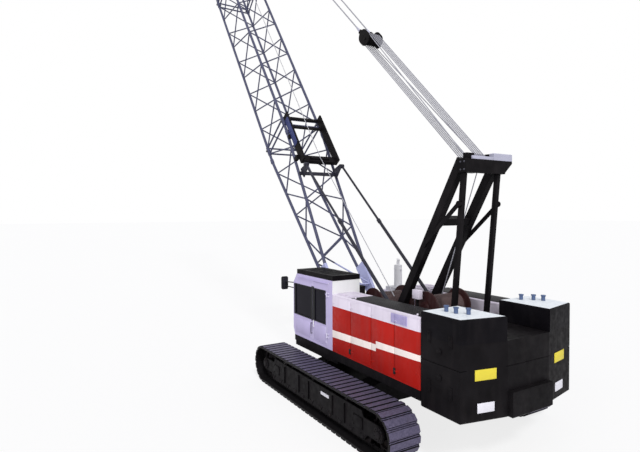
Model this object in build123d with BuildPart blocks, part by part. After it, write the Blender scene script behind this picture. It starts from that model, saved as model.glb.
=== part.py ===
"""Crawler crane with a lattice boom, standing on its tracks with the boom raised.

Millimetres. X points forward, Y to the operator's left, Z up; the origin is on the ground under
the slewing centre. Every piece is drawn where it stands.
"""

import os
from math import atan2, cos, degrees, hypot, pi, radians, sin

from build123d import *

os.makedirs("parts", exist_ok=True)

# driving dimensions
SEAT_GAP = 0.5          # between pieces that sit on each other
PIN_PLAY = 0.05         # radial play of a pin that turns in its eye

# tracks
TRACK_LENGTH = 6360
TRACK_HEIGHT = 1035
TRACK_GAUGE = 4220      # between the centres of the two tracks
SHOE_WIDTH = 760
SHOE_COUNT = 68
SHOE_THICKNESS = 40
PAD_HEIGHT = 26         # tread pad standing on each shoe
PAD_LENGTH = 138
LINK_DEPTH = 66
LINK_WIDTH = 220
FRAME_PLATE_IN = 215    # half width inside a track frame
FRAME_PLATE = 35
ROLLER_RADIUS = 130
ROLLER_COUNT = 11
ROLLER_PITCH = 425
CARRIER_RADIUS = 95
CARRIER_X = (-1450, 0, 1450)
WHEEL_AXLE_RADIUS = 60

# carbody and slewing ring
BEAM_X = 1020           # the two cross beams lie at plus and minus this
BEAM_WIDTH = 480
CARBODY_TOP = 1000
RING_RADIUS = 820
RING_BORE = 620
RING_BOTTOM = 1060
RING_SPLIT = 1115
BED_BOTTOM = 1170

# revolving frame
BED_TOP = 1379
HOUSE_X = (-3060, 170)  # rear and front of the machinery houses
HALF_WIDTH = 1646       # of the upper works
BED_NOSE_X = 1520
BED_NOSE_HALF = 792
CHEEK_IN = 600          # the long side plates that carry boom and gantry
CHEEK_OUT = 640
INNER_EAR = (385, 420)  # short plates on the other side of the gantry feet
OUTER_EAR = (758, 792)  # short plates outside the boom feet
BOOM_PIN = (1260, 1942)
BOOM_PIN_RADIUS = 60
GANTRY_PIN = (-806, 2000)
GANTRY_REAR_PIN = (-2799, 2195)
GANTRY_PIN_RADIUS = 45
BACKSTOP_PIN = (-1150, 2470)
BACKSTOP_PIN_RADIUS = 35

# machinery houses
HOUSE_TOP = 2829
HOUSE_IN = 900
HOUSE_WALL = 25
RIGHT_NOSE_X = 1500
RIGHT_NOSE_TOP = 2560

# counterweight
CW_FRONT = -3074
CW_CHAMFER_X = -4079
CW_REAR = -4291
CW_TRAY_REAR = -4395
CW_HALF = 1639
CW_CENTRE_HALF = 616
CW_LEVELS = (1070, 1560, 2030, 2503, 2961)

# cab
CAB_X = (173, 2290)
CAB_Y = (800, 1646)
CAB_Z = (1379, 3160)
CAB_WALL = 45

# gantry
GANTRY_APEX = (-3140, 6090)   # where the centre lines of the front legs lead
HEAD_SHAFT = (-2960, 5975)    # head sheaves of the boom suspension
HEAD_SHAFT_RADIUS = 45
GANTRY_LEG_Y = (430, 590)
GANTRY_REAR_Y = (462, 558)

# boom
BOOM_ANGLE = 53.7
BOOM_HALF_WIDTH = 700   # to the chord centres
BOOM_HALF_DEPTH = 740
CHORD_RADIUS = 48
LACING_RADIUS = 24
BATTEN_RADIUS = 30
BASE_LENGTH = 7000
LOWER_INSERT = 9000
UPPER_INSERT = 12000
TOP_LENGTH = 9000
TOP_TAPER = 5500        # length of the tapered part
HEAD_LENGTH = 1000      # from the end of the taper to the head sheaves
HEAD_HALF_DEPTH = 300
HEAD_HALF_WIDTH = 430
HEAD_SHEAVE_N = -620
HOIST_SHEAVE_RADIUS = 330
HOIST_GROOVE_RADIUS = 300
ROPE_RADIUS = 13

LEFT_AND_RIGHT = (1, -1)
FLAT = (Align.CENTER, Align.CENTER, Align.MIN)

# derived places
TRACK_RADIUS = TRACK_HEIGHT / 2
AXLE_X = TRACK_LENGTH / 2 - TRACK_RADIUS
SHOE_INNER = TRACK_RADIUS - PAD_HEIGHT - SHOE_THICKNESS
LINK_INNER = SHOE_INNER - LINK_DEPTH
TRACK_Y = TRACK_GAUGE / 2
ROLLER_Z = TRACK_RADIUS - LINK_INNER + SEAT_GAP + ROLLER_RADIUS
CARRIER_Z = TRACK_RADIUS + LINK_INNER - SEAT_GAP - CARRIER_RADIUS
FRAME_OUT = FRAME_PLATE_IN + FRAME_PLATE

LOWER_INSERT_END = BASE_LENGTH + LOWER_INSERT
UPPER_INSERT_END = LOWER_INSERT_END + UPPER_INSERT
BOOM_LENGTH = UPPER_INSERT_END + TOP_LENGTH
HEAD_START = BOOM_LENGTH - HEAD_LENGTH
TOP_TAPER_START = HEAD_START - TOP_TAPER
HEAD_SHEAVE_S = BOOM_LENGTH
BOOM_PLANE = Plane(
    origin=(BOOM_PIN[0], 0, BOOM_PIN[1]),
    x_dir=(cos(radians(BOOM_ANGLE)), 0, sin(radians(BOOM_ANGLE))),
    z_dir=(-sin(radians(BOOM_ANGLE)), 0, cos(radians(BOOM_ANGLE))),
)


def across(y_high):
    """Sketch plane with X forward and Z up; an extrusion from it runs towards the right side."""
    return Plane.XZ.offset(-y_high)


def strut(start, end):
    """Location at start whose Z axis points to end."""
    return Plane(origin=start, z_dir=Vector(*end) - Vector(*start)).location


def reach(start, end):
    return (Vector(*end) - Vector(*start)).length


def add_tubes(runs, radius):
    """Round tubes between pairs of points; those of one length are fused together."""
    by_length = {}
    for start, end in runs:
        by_length.setdefault(round(reach(start, end), 1), []).append(strut(start, end))
    for length, places in by_length.items():
        with Locations(*places):
            Cylinder(radius, length, align=FLAT)


def bar(start, end, width):
    """Corner points of a straight bar of one width between two points of a sketch."""
    run_x, run_y = end[0] - start[0], end[1] - start[1]
    length = hypot(run_x, run_y)
    off_x, off_y = -run_y / length * width / 2, run_x / length * width / 2
    return [
        (start[0] + off_x, start[1] + off_y), (start[0] - off_x, start[1] - off_y),
        (end[0] - off_x, end[1] - off_y), (end[0] + off_x, end[1] + off_y),
    ]


def save(builder, name):
    builder.part.label = name
    export_step(builder.part, f"parts/{name}.step")


# tracks
SHOE_PATH_RADIUS = SHOE_INNER + SHOE_THICKNESS / 2
SHOE_PATH = 4 * AXLE_X + 2 * pi * SHOE_PATH_RADIUS
PAD_FOOT = 14           # how far a pad is sunk into its shoe


def shoe_place(index):
    """Location of one tread pad on the track's outline, seen from the side."""
    straight, arc = 2 * AXLE_X, pi * SHOE_PATH_RADIUS
    run = (index + 0.5) * SHOE_PATH / SHOE_COUNT
    flat_out = TRACK_RADIUS - (PAD_HEIGHT + PAD_FOOT) / 2
    arc_out = flat_out - TRACK_RADIUS + (TRACK_RADIUS ** 2 - (PAD_LENGTH / 2) ** 2) ** 0.5
    if run < straight:
        return Location((run - AXLE_X, TRACK_RADIUS - flat_out, 0))
    run -= straight
    if run < arc:
        turn = run / SHOE_PATH_RADIUS
        place = (AXLE_X + arc_out * sin(turn), TRACK_RADIUS - arc_out * cos(turn), 0)
        return Location(place, (0, 0, degrees(turn)))
    run -= arc
    if run < straight:
        return Location((AXLE_X - run, TRACK_RADIUS + flat_out, 0), (0, 0, 180))
    turn = (run - straight) / SHOE_PATH_RADIUS
    place = (-AXLE_X - arc_out * sin(turn), TRACK_RADIUS + arc_out * cos(turn), 0)
    return Location(place, (0, 0, 180 + degrees(turn)))


def add_track(y_centre):
    with BuildSketch(across(y_centre + SHOE_WIDTH / 2)) as shoes:
        with Locations((0, TRACK_RADIUS)):
            SlotCenterToCenter(2 * AXLE_X, 2 * (TRACK_RADIUS - PAD_HEIGHT))
        with Locations(*[shoe_place(index) for index in range(SHOE_COUNT)]):
            Rectangle(PAD_LENGTH, PAD_HEIGHT + PAD_FOOT)
        with Locations((0, TRACK_RADIUS)):
            SlotCenterToCenter(2 * AXLE_X, 2 * SHOE_INNER, mode=Mode.SUBTRACT)
    extrude(shoes.sketch, amount=SHOE_WIDTH)
    with BuildSketch(across(y_centre + LINK_WIDTH / 2)) as links:
        with Locations((0, TRACK_RADIUS)):
            SlotCenterToCenter(2 * AXLE_X, 2 * SHOE_INNER)
            SlotCenterToCenter(2 * AXLE_X, 2 * LINK_INNER, mode=Mode.SUBTRACT)
    extrude(links.sketch, amount=LINK_WIDTH)


with BuildPart() as track_left:
    add_track(TRACK_Y)
save(track_left, "track_left")

with BuildPart() as track_right:
    add_track(-TRACK_Y)
save(track_right, "track_right")

# track frames
FRAME_BEAM_X = 2080
FRAME_BEAM_Z = (440, 800)
FRAME_SKIRT_Z = 205
FRAME_SKIRT_X = 2300
YOKE_RADIUS = 165


def add_track_frame(y_centre):
    for y_high in (y_centre + FRAME_OUT, y_centre - FRAME_PLATE_IN):
        with BuildSketch(across(y_high)) as plate:
            Polygon(
                (-FRAME_SKIRT_X, 380), (-FRAME_SKIRT_X + 130, FRAME_SKIRT_Z),
                (FRAME_SKIRT_X - 130, FRAME_SKIRT_Z), (FRAME_SKIRT_X, 380),
                (FRAME_BEAM_X, FRAME_BEAM_Z[1]), (-FRAME_BEAM_X, FRAME_BEAM_Z[1]), align=None)
            with Locations((0, TRACK_RADIUS)):
                SlotCenterToCenter(2 * AXLE_X, 2 * YOKE_RADIUS)
            with Locations((-AXLE_X, TRACK_RADIUS), (AXLE_X, TRACK_RADIUS)):
                Circle(WHEEL_AXLE_RADIUS + SEAT_GAP, mode=Mode.SUBTRACT)
        extrude(plate.sketch, amount=FRAME_PLATE)
    with BuildSketch(across(y_centre + FRAME_PLATE_IN)) as beam:
        Polygon(
            (-FRAME_BEAM_X, FRAME_BEAM_Z[0]), (FRAME_BEAM_X, FRAME_BEAM_Z[0]),
            (FRAME_BEAM_X, FRAME_BEAM_Z[1] - 130), (FRAME_BEAM_X - 120, FRAME_BEAM_Z[1] - 130),
            (FRAME_BEAM_X - 260, FRAME_BEAM_Z[1] - 110), (-FRAME_BEAM_X + 260, FRAME_BEAM_Z[1] - 110),
            (-FRAME_BEAM_X + 120, FRAME_BEAM_Z[1] - 130), (-FRAME_BEAM_X, FRAME_BEAM_Z[1] - 130),
            align=None)
    extrude(beam.sketch, amount=2 * FRAME_PLATE_IN)


with BuildPart() as track_frame_left:
    add_track_frame(TRACK_Y)
save(track_frame_left, "track_frame_left")

with BuildPart() as track_frame_right:
    add_track_frame(-TRACK_Y)
save(track_frame_right, "track_frame_right")

# rollers, idlers, sprockets
WHEEL_RADIUS = LINK_INNER - SEAT_GAP
AXLE_HALF = FRAME_PLATE_IN - SEAT_GAP
ROLLER_FLANGE = 18      # how far a roller's flange stands beside the links
ROLLER_TREAD = LINK_WIDTH + 16
FLANGE_WIDTH = 22


def add_rollers(y_centre):
    lower = [((index - (ROLLER_COUNT - 1) / 2) * ROLLER_PITCH, y_centre, ROLLER_Z)
             for index in range(ROLLER_COUNT)]
    upper = [(x, y_centre, CARRIER_Z) for x in CARRIER_X]
    for centres, radius in ((lower, ROLLER_RADIUS), (upper, CARRIER_RADIUS)):
        with Locations(*[Location(centre, (90, 0, 0)) for centre in centres]):
            Cylinder(radius, ROLLER_TREAD)
            Cylinder(radius * 0.45, 2 * AXLE_HALF)
        rims = [Location((x, y + side * (ROLLER_TREAD + FLANGE_WIDTH) / 2, z), (90, 0, 0))
                for x, y, z in centres for side in LEFT_AND_RIGHT]
        with Locations(*rims):
            Cylinder(radius + ROLLER_FLANGE, FLANGE_WIDTH)


with BuildPart() as rollers_left:
    add_rollers(TRACK_Y)
save(rollers_left, "rollers_left")

with BuildPart() as rollers_right:
    add_rollers(-TRACK_Y)
save(rollers_right, "rollers_right")

IDLER_WIDTH = 200
IDLER_RIM = 70
IDLER_WEB = 60
IDLER_HUB = 130
DRIVE_LUGS = 12
DRIVE_NOTCH = 52
DRIVE_HUB = (190, 150)  # radius and stand-out of the final drive


def add_idler(x, y_centre):
    with BuildSketch(Plane.XY.offset(TRACK_RADIUS)) as section:
        with Locations((x, y_centre)):
            Rectangle(WHEEL_RADIUS, IDLER_WEB, align=(Align.MIN, Align.CENTER))
            Rectangle(IDLER_HUB, 2 * AXLE_HALF, align=(Align.MIN, Align.CENTER))
            Rectangle(WHEEL_AXLE_RADIUS, 2 * (FRAME_OUT + 18), align=(Align.MIN, Align.CENTER))
        with Locations((x + WHEEL_RADIUS - IDLER_RIM, y_centre)):
            Rectangle(IDLER_RIM, IDLER_WIDTH, align=(Align.MIN, Align.CENTER))
    revolve(section.sketch, axis=Axis((x, 0, TRACK_RADIUS), (0, 1, 0)))


def add_sprocket(x, y_centre, side):
    add_idler(x, y_centre)
    with BuildSketch(across(y_centre + IDLER_WIDTH / 2)) as notches:
        with Locations((x, TRACK_RADIUS)):
            with PolarLocations(WHEEL_RADIUS, DRIVE_LUGS):
                Circle(DRIVE_NOTCH)
    extrude(notches.sketch, amount=IDLER_WIDTH, mode=Mode.SUBTRACT)
    radius, stand = DRIVE_HUB
    face = FRAME_OUT + SEAT_GAP + stand / 2
    with Locations(Location((x, y_centre + side * face, TRACK_RADIUS), (90, 0, 0))):
        Cylinder(radius, stand)
    with Locations(Location((x, y_centre + side * (face + stand / 2), TRACK_RADIUS), (90, 0, 0))):
        Cylinder(radius * 0.62, 70)


with BuildPart() as idler_left:
    add_idler(AXLE_X, TRACK_Y)
save(idler_left, "idler_left")

with BuildPart() as idler_right:
    add_idler(AXLE_X, -TRACK_Y)
save(idler_right, "idler_right")

with BuildPart() as sprocket_left:
    add_sprocket(-AXLE_X, TRACK_Y, -1)
save(sprocket_left, "sprocket_left")

with BuildPart() as sprocket_right:
    add_sprocket(-AXLE_X, -TRACK_Y, 1)
save(sprocket_right, "sprocket_right")

# carbody and slewing ring
BEAM_REACH = TRACK_Y - FRAME_OUT
BEAM_END_Z = (460, 780)
CARBODY_HALF = (1260, 880)
CARBODY_BOTTOM = 400

with BuildPart() as carbody:
    for x in (-BEAM_X, BEAM_X):
        with BuildSketch(Plane.YZ.offset(x - BEAM_WIDTH / 2)):
            Polygon(
                (-BEAM_REACH, BEAM_END_Z[0]), (-CARBODY_HALF[1], CARBODY_BOTTOM),
                (CARBODY_HALF[1], CARBODY_BOTTOM), (BEAM_REACH, BEAM_END_Z[0]),
                (BEAM_REACH, BEAM_END_Z[1]), (CARBODY_HALF[1], CARBODY_TOP),
                (-CARBODY_HALF[1], CARBODY_TOP), (-BEAM_REACH, BEAM_END_Z[1]), align=None)
        extrude(amount=BEAM_WIDTH)
    with BuildSketch(Plane.XY.offset(CARBODY_BOTTOM)):
        Rectangle(2 * CARBODY_HALF[0], 2 * CARBODY_HALF[1])
        chamfer(vertices(), 260)
    extrude(amount=CARBODY_TOP - CARBODY_BOTTOM)
    with Locations((0, 0, CARBODY_TOP)):
        Cylinder(RING_RADIUS + 60, RING_BOTTOM - CARBODY_TOP, align=FLAT)
    with Locations((0, 0, RING_BOTTOM - 240)):
        Cylinder(RING_BORE, 240, align=FLAT, mode=Mode.SUBTRACT)
save(carbody, "carbody")

with BuildPart() as slewing_ring:
    with BuildSketch(Plane.XY.offset(RING_BOTTOM)):
        Circle(RING_RADIUS)
        Circle(RING_BORE, mode=Mode.SUBTRACT)
    extrude(amount=RING_SPLIT - RING_BOTTOM)
save(slewing_ring, "slewing_ring")

# revolving frame
CAB_TRAY_TOP = CAB_Z[0] - SEAT_GAP
CAB_TRAY_BOTTOM = 1215
SIDE_MEMBER_BOTTOM = 1075  # deep side members under the two trays
SIDE_MEMBER_IN = 1000
CHEEK_OUTLINE = [
    (-2990, BED_TOP - 20), (-2990, 2310), (-2640, 2310), (-2430, 1880), (-1420, 1880),
    (-1290, 2590), (-1010, 2590), (-700, 2140), (-480, 1980), (950, 1980), (1110, 2090),
    (1400, 2090), (1470, 1930), (1400, BED_TOP - 20),
]
GANTRY_EARS = (  # rear, front and top of the short plates beside the gantry feet
    (-1010, -600, 2140),
    (-2990, -2640, 2310),
)

with BuildPart() as revolving_frame:
    with BuildSketch(Plane.XY.offset(BED_BOTTOM)):
        with Locations(((HOUSE_X[0] + HOUSE_X[1]) / 2, 0)):
            Rectangle(HOUSE_X[1] - HOUSE_X[0], 2 * HALF_WIDTH - 12)
        with Locations((BED_NOSE_X, 0)):
            Rectangle(BED_NOSE_X - HOUSE_X[1] + 50, 2 * BED_NOSE_HALF,
                      align=(Align.MAX, Align.CENTER))
        with Locations((CW_FRONT + SEAT_GAP, 0)):
            Rectangle(200, 2 * CHEEK_OUT, align=(Align.MIN, Align.CENTER))
    extrude(amount=BED_TOP - BED_BOTTOM)
    # tray that carries the cab, and the one under the right nose
    with Locations(((CAB_X[1] - 60) / 2, (BED_NOSE_HALF + HALF_WIDTH - 40) / 2, CAB_TRAY_BOTTOM)):
        Box(CAB_X[1] - 60, HALF_WIDTH - 40 - BED_NOSE_HALF + 60, CAB_TRAY_TOP - CAB_TRAY_BOTTOM,
            align=FLAT)
    with Locations((RIGHT_NOSE_X / 2, -(BED_NOSE_HALF + HALF_WIDTH - 10) / 2, CAB_TRAY_BOTTOM)):
        Box(RIGHT_NOSE_X, HALF_WIDTH - 10 - BED_NOSE_HALF + 60, BED_TOP - CAB_TRAY_BOTTOM,
            align=FLAT)
    for x_end, side, y_out in ((CAB_X[1] - 60, 1, HALF_WIDTH - 40), (RIGHT_NOSE_X, -1, HALF_WIDTH - 10)):
        with Locations((x_end / 2, side * (SIDE_MEMBER_IN + y_out) / 2, SIDE_MEMBER_BOTTOM)):
            Box(x_end, y_out - SIDE_MEMBER_IN, CAB_TRAY_BOTTOM - SIDE_MEMBER_BOTTOM + 20, align=FLAT)
    for y_high in (CHEEK_OUT, -CHEEK_IN):
        with BuildSketch(across(y_high)):
            Polygon(*CHEEK_OUTLINE, align=None)
        extrude(amount=CHEEK_OUT - CHEEK_IN)
    for rear, front, top in GANTRY_EARS:
        for y_high in (INNER_EAR[1], -INNER_EAR[0]):
            with BuildSketch(across(y_high)):
                with Locations(((rear + front) / 2, BED_TOP - 20)):
                    Rectangle(front - rear, top - BED_TOP + 20, align=(Align.CENTER, Align.MIN))
            extrude(amount=INNER_EAR[1] - INNER_EAR[0])
    for y_high in (OUTER_EAR[1], -OUTER_EAR[0]):
        with BuildSketch(across(y_high)):
            Polygon((1040, BED_TOP - 20), (1130, 2090), (1390, 2090), (1480, BED_TOP - 20),
                    align=None)
        extrude(amount=OUTER_EAR[1] - OUTER_EAR[0])
    pins = (  # place, radius, nearer and farther end
        (BOOM_PIN, BOOM_PIN_RADIUS, CHEEK_IN, OUTER_EAR[1]),
        (GANTRY_PIN, GANTRY_PIN_RADIUS, INNER_EAR[0], CHEEK_OUT),
        (GANTRY_REAR_PIN, GANTRY_PIN_RADIUS, INNER_EAR[0], CHEEK_OUT),
        (BACKSTOP_PIN, BACKSTOP_PIN_RADIUS, CHEEK_OUT - 10, 742),
    )
    for place, radius, near, far in pins:
        for y_high in (far, -near):
            with BuildSketch(across(y_high)):
                with Locations(place):
                    Circle(radius)
            extrude(amount=far - near)
    with BuildSketch(Plane.XY.offset(RING_SPLIT + SEAT_GAP)):
        Circle(RING_RADIUS - 40)
        Circle(RING_BORE, mode=Mode.SUBTRACT)
    extrude(amount=BED_BOTTOM - RING_SPLIT)
save(revolving_frame, "revolving_frame")

# machinery houses and engine
DOOR_JOINTS_X = (-2270, -1460, -650)
GROOVE = 10
VENT_COUNT = 9
VENT_PITCH = 90
VENT_SIZE = (34, 520)
VENT_X = -2560
VENT_Z = 2150


def add_house_shell(x_low, x_high, y_low, y_high, top):
    """Sheet housing, open below where it stands on the bed."""
    with Locations((x_low, y_low, BED_TOP)):
        Box(x_high - x_low, y_high - y_low, top - BED_TOP, align=(Align.MIN,) * 3)


with BuildPart() as house_left:
    add_house_shell(HOUSE_X[0], HOUSE_X[1], HOUSE_IN, HALF_WIDTH, HOUSE_TOP)
    top_edges = house_left.edges().filter_by(Axis.X).sort_by(Axis.Z)[-2:]
    chamfer(top_edges, 22)
    with Locations(((HOUSE_X[0] + HOUSE_X[1]) / 2, (HOUSE_IN + HALF_WIDTH) / 2, BED_TOP)):
        Box(HOUSE_X[1] - HOUSE_X[0] - 2 * HOUSE_WALL, HALF_WIDTH - HOUSE_IN - 2 * HOUSE_WALL,
            HOUSE_TOP - BED_TOP - HOUSE_WALL, align=FLAT, mode=Mode.SUBTRACT)
    with Locations(*[(x, HALF_WIDTH, BED_TOP + 60) for x in DOOR_JOINTS_X]):
        Box(GROOVE, 2 * GROOVE, HOUSE_TOP - BED_TOP - 120, align=FLAT, mode=Mode.SUBTRACT)
save(house_left, "house_left")

with BuildPart() as house_right:
    add_house_shell(HOUSE_X[0], HOUSE_X[1], -HALF_WIDTH, -HOUSE_IN, HOUSE_TOP)
    add_house_shell(HOUSE_X[1], RIGHT_NOSE_X, -HALF_WIDTH, -HOUSE_IN, RIGHT_NOSE_TOP)
    top_edges = house_right.edges().filter_by(Axis.X).group_by(Axis.Z)[-1]
    chamfer(top_edges, 22)
    with Locations(((HOUSE_X[0] + HOUSE_X[1]) / 2, -(HOUSE_IN + HALF_WIDTH) / 2, BED_TOP)):
        Box(HOUSE_X[1] - HOUSE_X[0] - 2 * HOUSE_WALL, HALF_WIDTH - HOUSE_IN - 2 * HOUSE_WALL,
            HOUSE_TOP - BED_TOP - HOUSE_WALL, align=FLAT, mode=Mode.SUBTRACT)
    with Locations(*[(x, -HALF_WIDTH, BED_TOP + 60) for x in DOOR_JOINTS_X]):
        Box(GROOVE, 2 * GROOVE, HOUSE_TOP - BED_TOP - 120, align=FLAT, mode=Mode.SUBTRACT)
    vents = [(VENT_X + (index - (VENT_COUNT - 1) / 2) * VENT_PITCH * 0.7, -HALF_WIDTH, VENT_Z)
             for index in range(VENT_COUNT)]
    with Locations(*vents):
        Box(VENT_SIZE[0], 4 * HOUSE_WALL, VENT_SIZE[1], mode=Mode.SUBTRACT)
save(house_right, "house_right")

ENGINE_X = (-2650, -950)
ENGINE_Y = (-1480, -1010)
ENGINE_TOP = 2380

with BuildPart() as engine:
    with Locations((ENGINE_X[0], ENGINE_Y[0], BED_TOP)):
        Box(ENGINE_X[1] - ENGINE_X[0], ENGINE_Y[1] - ENGINE_Y[0], ENGINE_TOP - BED_TOP,
            align=(Align.MIN,) * 3)
save(engine, "engine")

SILENCER_AT = (950, -1150)
SILENCER_BOX = (640, 420, 130)
SILENCER_RADIUS = 115
SILENCER_TOP = 3340
TAILPIPE_RADIUS = 45

with BuildPart() as exhaust_silencer:
    with Locations((*SILENCER_AT, RIGHT_NOSE_TOP)):
        Box(*SILENCER_BOX, align=FLAT)
        Cylinder(SILENCER_RADIUS, SILENCER_TOP - RIGHT_NOSE_TOP, align=FLAT)
        Cylinder(TAILPIPE_RADIUS, SILENCER_TOP - RIGHT_NOSE_TOP + 140, align=FLAT)
    chamfer(exhaust_silencer.faces().sort_by(Axis.Z)[-2].edges(), 18)
save(exhaust_silencer, "exhaust_silencer")

# counterweight
CW_OUTLINE = [
    (CW_FRONT, -CW_HALF), (CW_CHAMFER_X, -CW_HALF), (CW_REAR, -CW_CENTRE_HALF),
    (CW_REAR, CW_CENTRE_HALF), (CW_CHAMFER_X, CW_HALF), (CW_FRONT, CW_HALF),
]
CW_GROOVE = 12
BOLLARDS = (             # x and y
    (-3380, 1270), (-3610, 1250), (-3800, 1120),
    (-3310, -1070), (-3480, -1260), (-3640, -1370),
)
BOLLARD_RADIUS = 40
BOLLARD_HEAD = (52, 24)
BOLLARD_HEIGHT = 120
CW_BLOCK_IN = 640

with BuildPart() as counterweight_tray:
    with BuildSketch(Plane.XY.offset(CW_LEVELS[0])):
        Polygon(*CW_OUTLINE, align=None)
        with Locations((CW_REAR, 0)):
            Rectangle(2 * (CW_REAR - CW_TRAY_REAR), 2 * CW_CENTRE_HALF - 40)
    extrude(amount=CW_LEVELS[1] - CW_LEVELS[0])
    under = counterweight_tray.faces().sort_by(Axis.Z)[0]
    chamfer(under.edges(), 25)
save(counterweight_tray, "counterweight_tray")

with BuildPart() as counterweight_slabs:
    with BuildSketch(Plane.XY.offset(CW_LEVELS[1])):
        Polygon(*CW_OUTLINE, align=None)
    extrude(amount=CW_LEVELS[3] - CW_LEVELS[1])
    with BuildSketch(Plane.XY.offset(CW_LEVELS[2] - CW_GROOVE / 2)):
        Rectangle(20000, 20000)
        with Locations(((CW_FRONT + CW_REAR) / 2, 0)):
            Rectangle(CW_FRONT - CW_REAR - 2 * CW_GROOVE, 2 * CW_HALF - 260, mode=Mode.SUBTRACT)
    extrude(amount=CW_GROOVE, mode=Mode.SUBTRACT)
save(counterweight_slabs, "counterweight_slabs")

with BuildPart() as counterweight_blocks:
    for side in LEFT_AND_RIGHT:
        with BuildSketch(Plane.XY.offset(CW_LEVELS[3])):
            Polygon(
                (CW_FRONT, side * CW_HALF), (CW_CHAMFER_X, side * CW_HALF),
                (CW_REAR, side * CW_BLOCK_IN), (CW_FRONT, side * CW_BLOCK_IN), align=None)
        extrude(amount=CW_LEVELS[4] - CW_LEVELS[3])
    chamfer(counterweight_blocks.faces().group_by(Axis.Z)[-1].edges(), 20)
    with Locations(*[(x, y, CW_LEVELS[4]) for x, y in BOLLARDS]):
        Cylinder(BOLLARD_RADIUS, BOLLARD_HEIGHT, align=FLAT)
    with Locations(*[(x, y, CW_LEVELS[4] + BOLLARD_HEIGHT - BOLLARD_HEAD[1])
                     for x, y in BOLLARDS]):
        Cylinder(*BOLLARD_HEAD, align=FLAT)
save(counterweight_blocks, "counterweight_blocks")

# winches
WINCH_PLATE = (545, 585)
WINCH_SHAFT = 55
WINCH_FOOT = 265         # half length of a side plate's foot
ROPE_PITCH = 60


def add_winch(x, z, flange_radius, drum_radius):
    """Grooved drum between two flanges, carried by side plates that stand on the bed."""
    for y_high in (WINCH_PLATE[1], -WINCH_PLATE[0]):
        with BuildSketch(across(y_high)) as plate:
            Polygon((x - WINCH_FOOT, BED_TOP), (x - 120, z), (x + 120, z), (x + WINCH_FOOT, BED_TOP),
                    align=None)
            with Locations((x, z)):
                Circle(140)
        extrude(plate.sketch, amount=WINCH_PLATE[1] - WINCH_PLATE[0])
    with Locations(Location((x, 0, z), (90, 0, 0))):
        Cylinder(drum_radius, 2 * WINCH_PLATE[0] - 60)
        Cylinder(WINCH_SHAFT, 2 * WINCH_PLATE[1])
    rings = int((2 * WINCH_PLATE[0] - 200) / ROPE_PITCH)
    with Locations(*[Location((x, (i - (rings - 1) / 2) * ROPE_PITCH, z), (90, 0, 0))
                     for i in range(rings)]):
        Cylinder(drum_radius + 16, ROPE_PITCH * 0.62)
    with Locations(*[Location((x, side * (WINCH_PLATE[0] - 45), z), (90, 0, 0))
                     for side in LEFT_AND_RIGHT]):
        Cylinder(flange_radius, 30)


HOIST_WINCHES = (  # x, z, flange radius, drum radius
    (-50, 2500, 420, 250),
    (-2020, 2720, 380, 240),
)
LUFFING_WINCH = (-1450, 1950, 330, 200)

with BuildPart() as hoist_winches:
    for winch in HOIST_WINCHES:
        add_winch(*winch)
save(hoist_winches, "hoist_winches")

with BuildPart() as luffing_winch:
    add_winch(*LUFFING_WINCH)
save(luffing_winch, "luffing_winch")

# cab
CAB_OUTLINE = [
    (CAB_X[0], CAB_Z[0]), (CAB_X[0], CAB_Z[1]), (CAB_X[1] - 210, CAB_Z[1]),
    (CAB_X[1], CAB_Z[1] - 270), (CAB_X[1], CAB_Z[0] + 190), (CAB_X[1] - 90, CAB_Z[0]),
]
CAB_DEPTH = CAB_Y[1] - CAB_Y[0]
DOOR_X = (420, 1165)
DOOR_Z = (1450, 3040)
DOOR_GAP = 6
SIDE_WINDOW_X = (1235, 2185)
WINDOW_Z = (1980, 2870)
RIGHT_WINDOW_X = (520, 2185)
FRONT_WINDOW_Y = (870, 1576)
FRONT_WINDOW_Z = (1630, 2860)
DOOR_WINDOW_X = (495, 1095)
GLASS = 8
HINGE_AT = (420, 1666)
HINGE_Z = (1720, 2780)
HINGE_BARREL = 16
HINGE_PIN = 8
HINGE_KNUCKLE = 40

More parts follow.
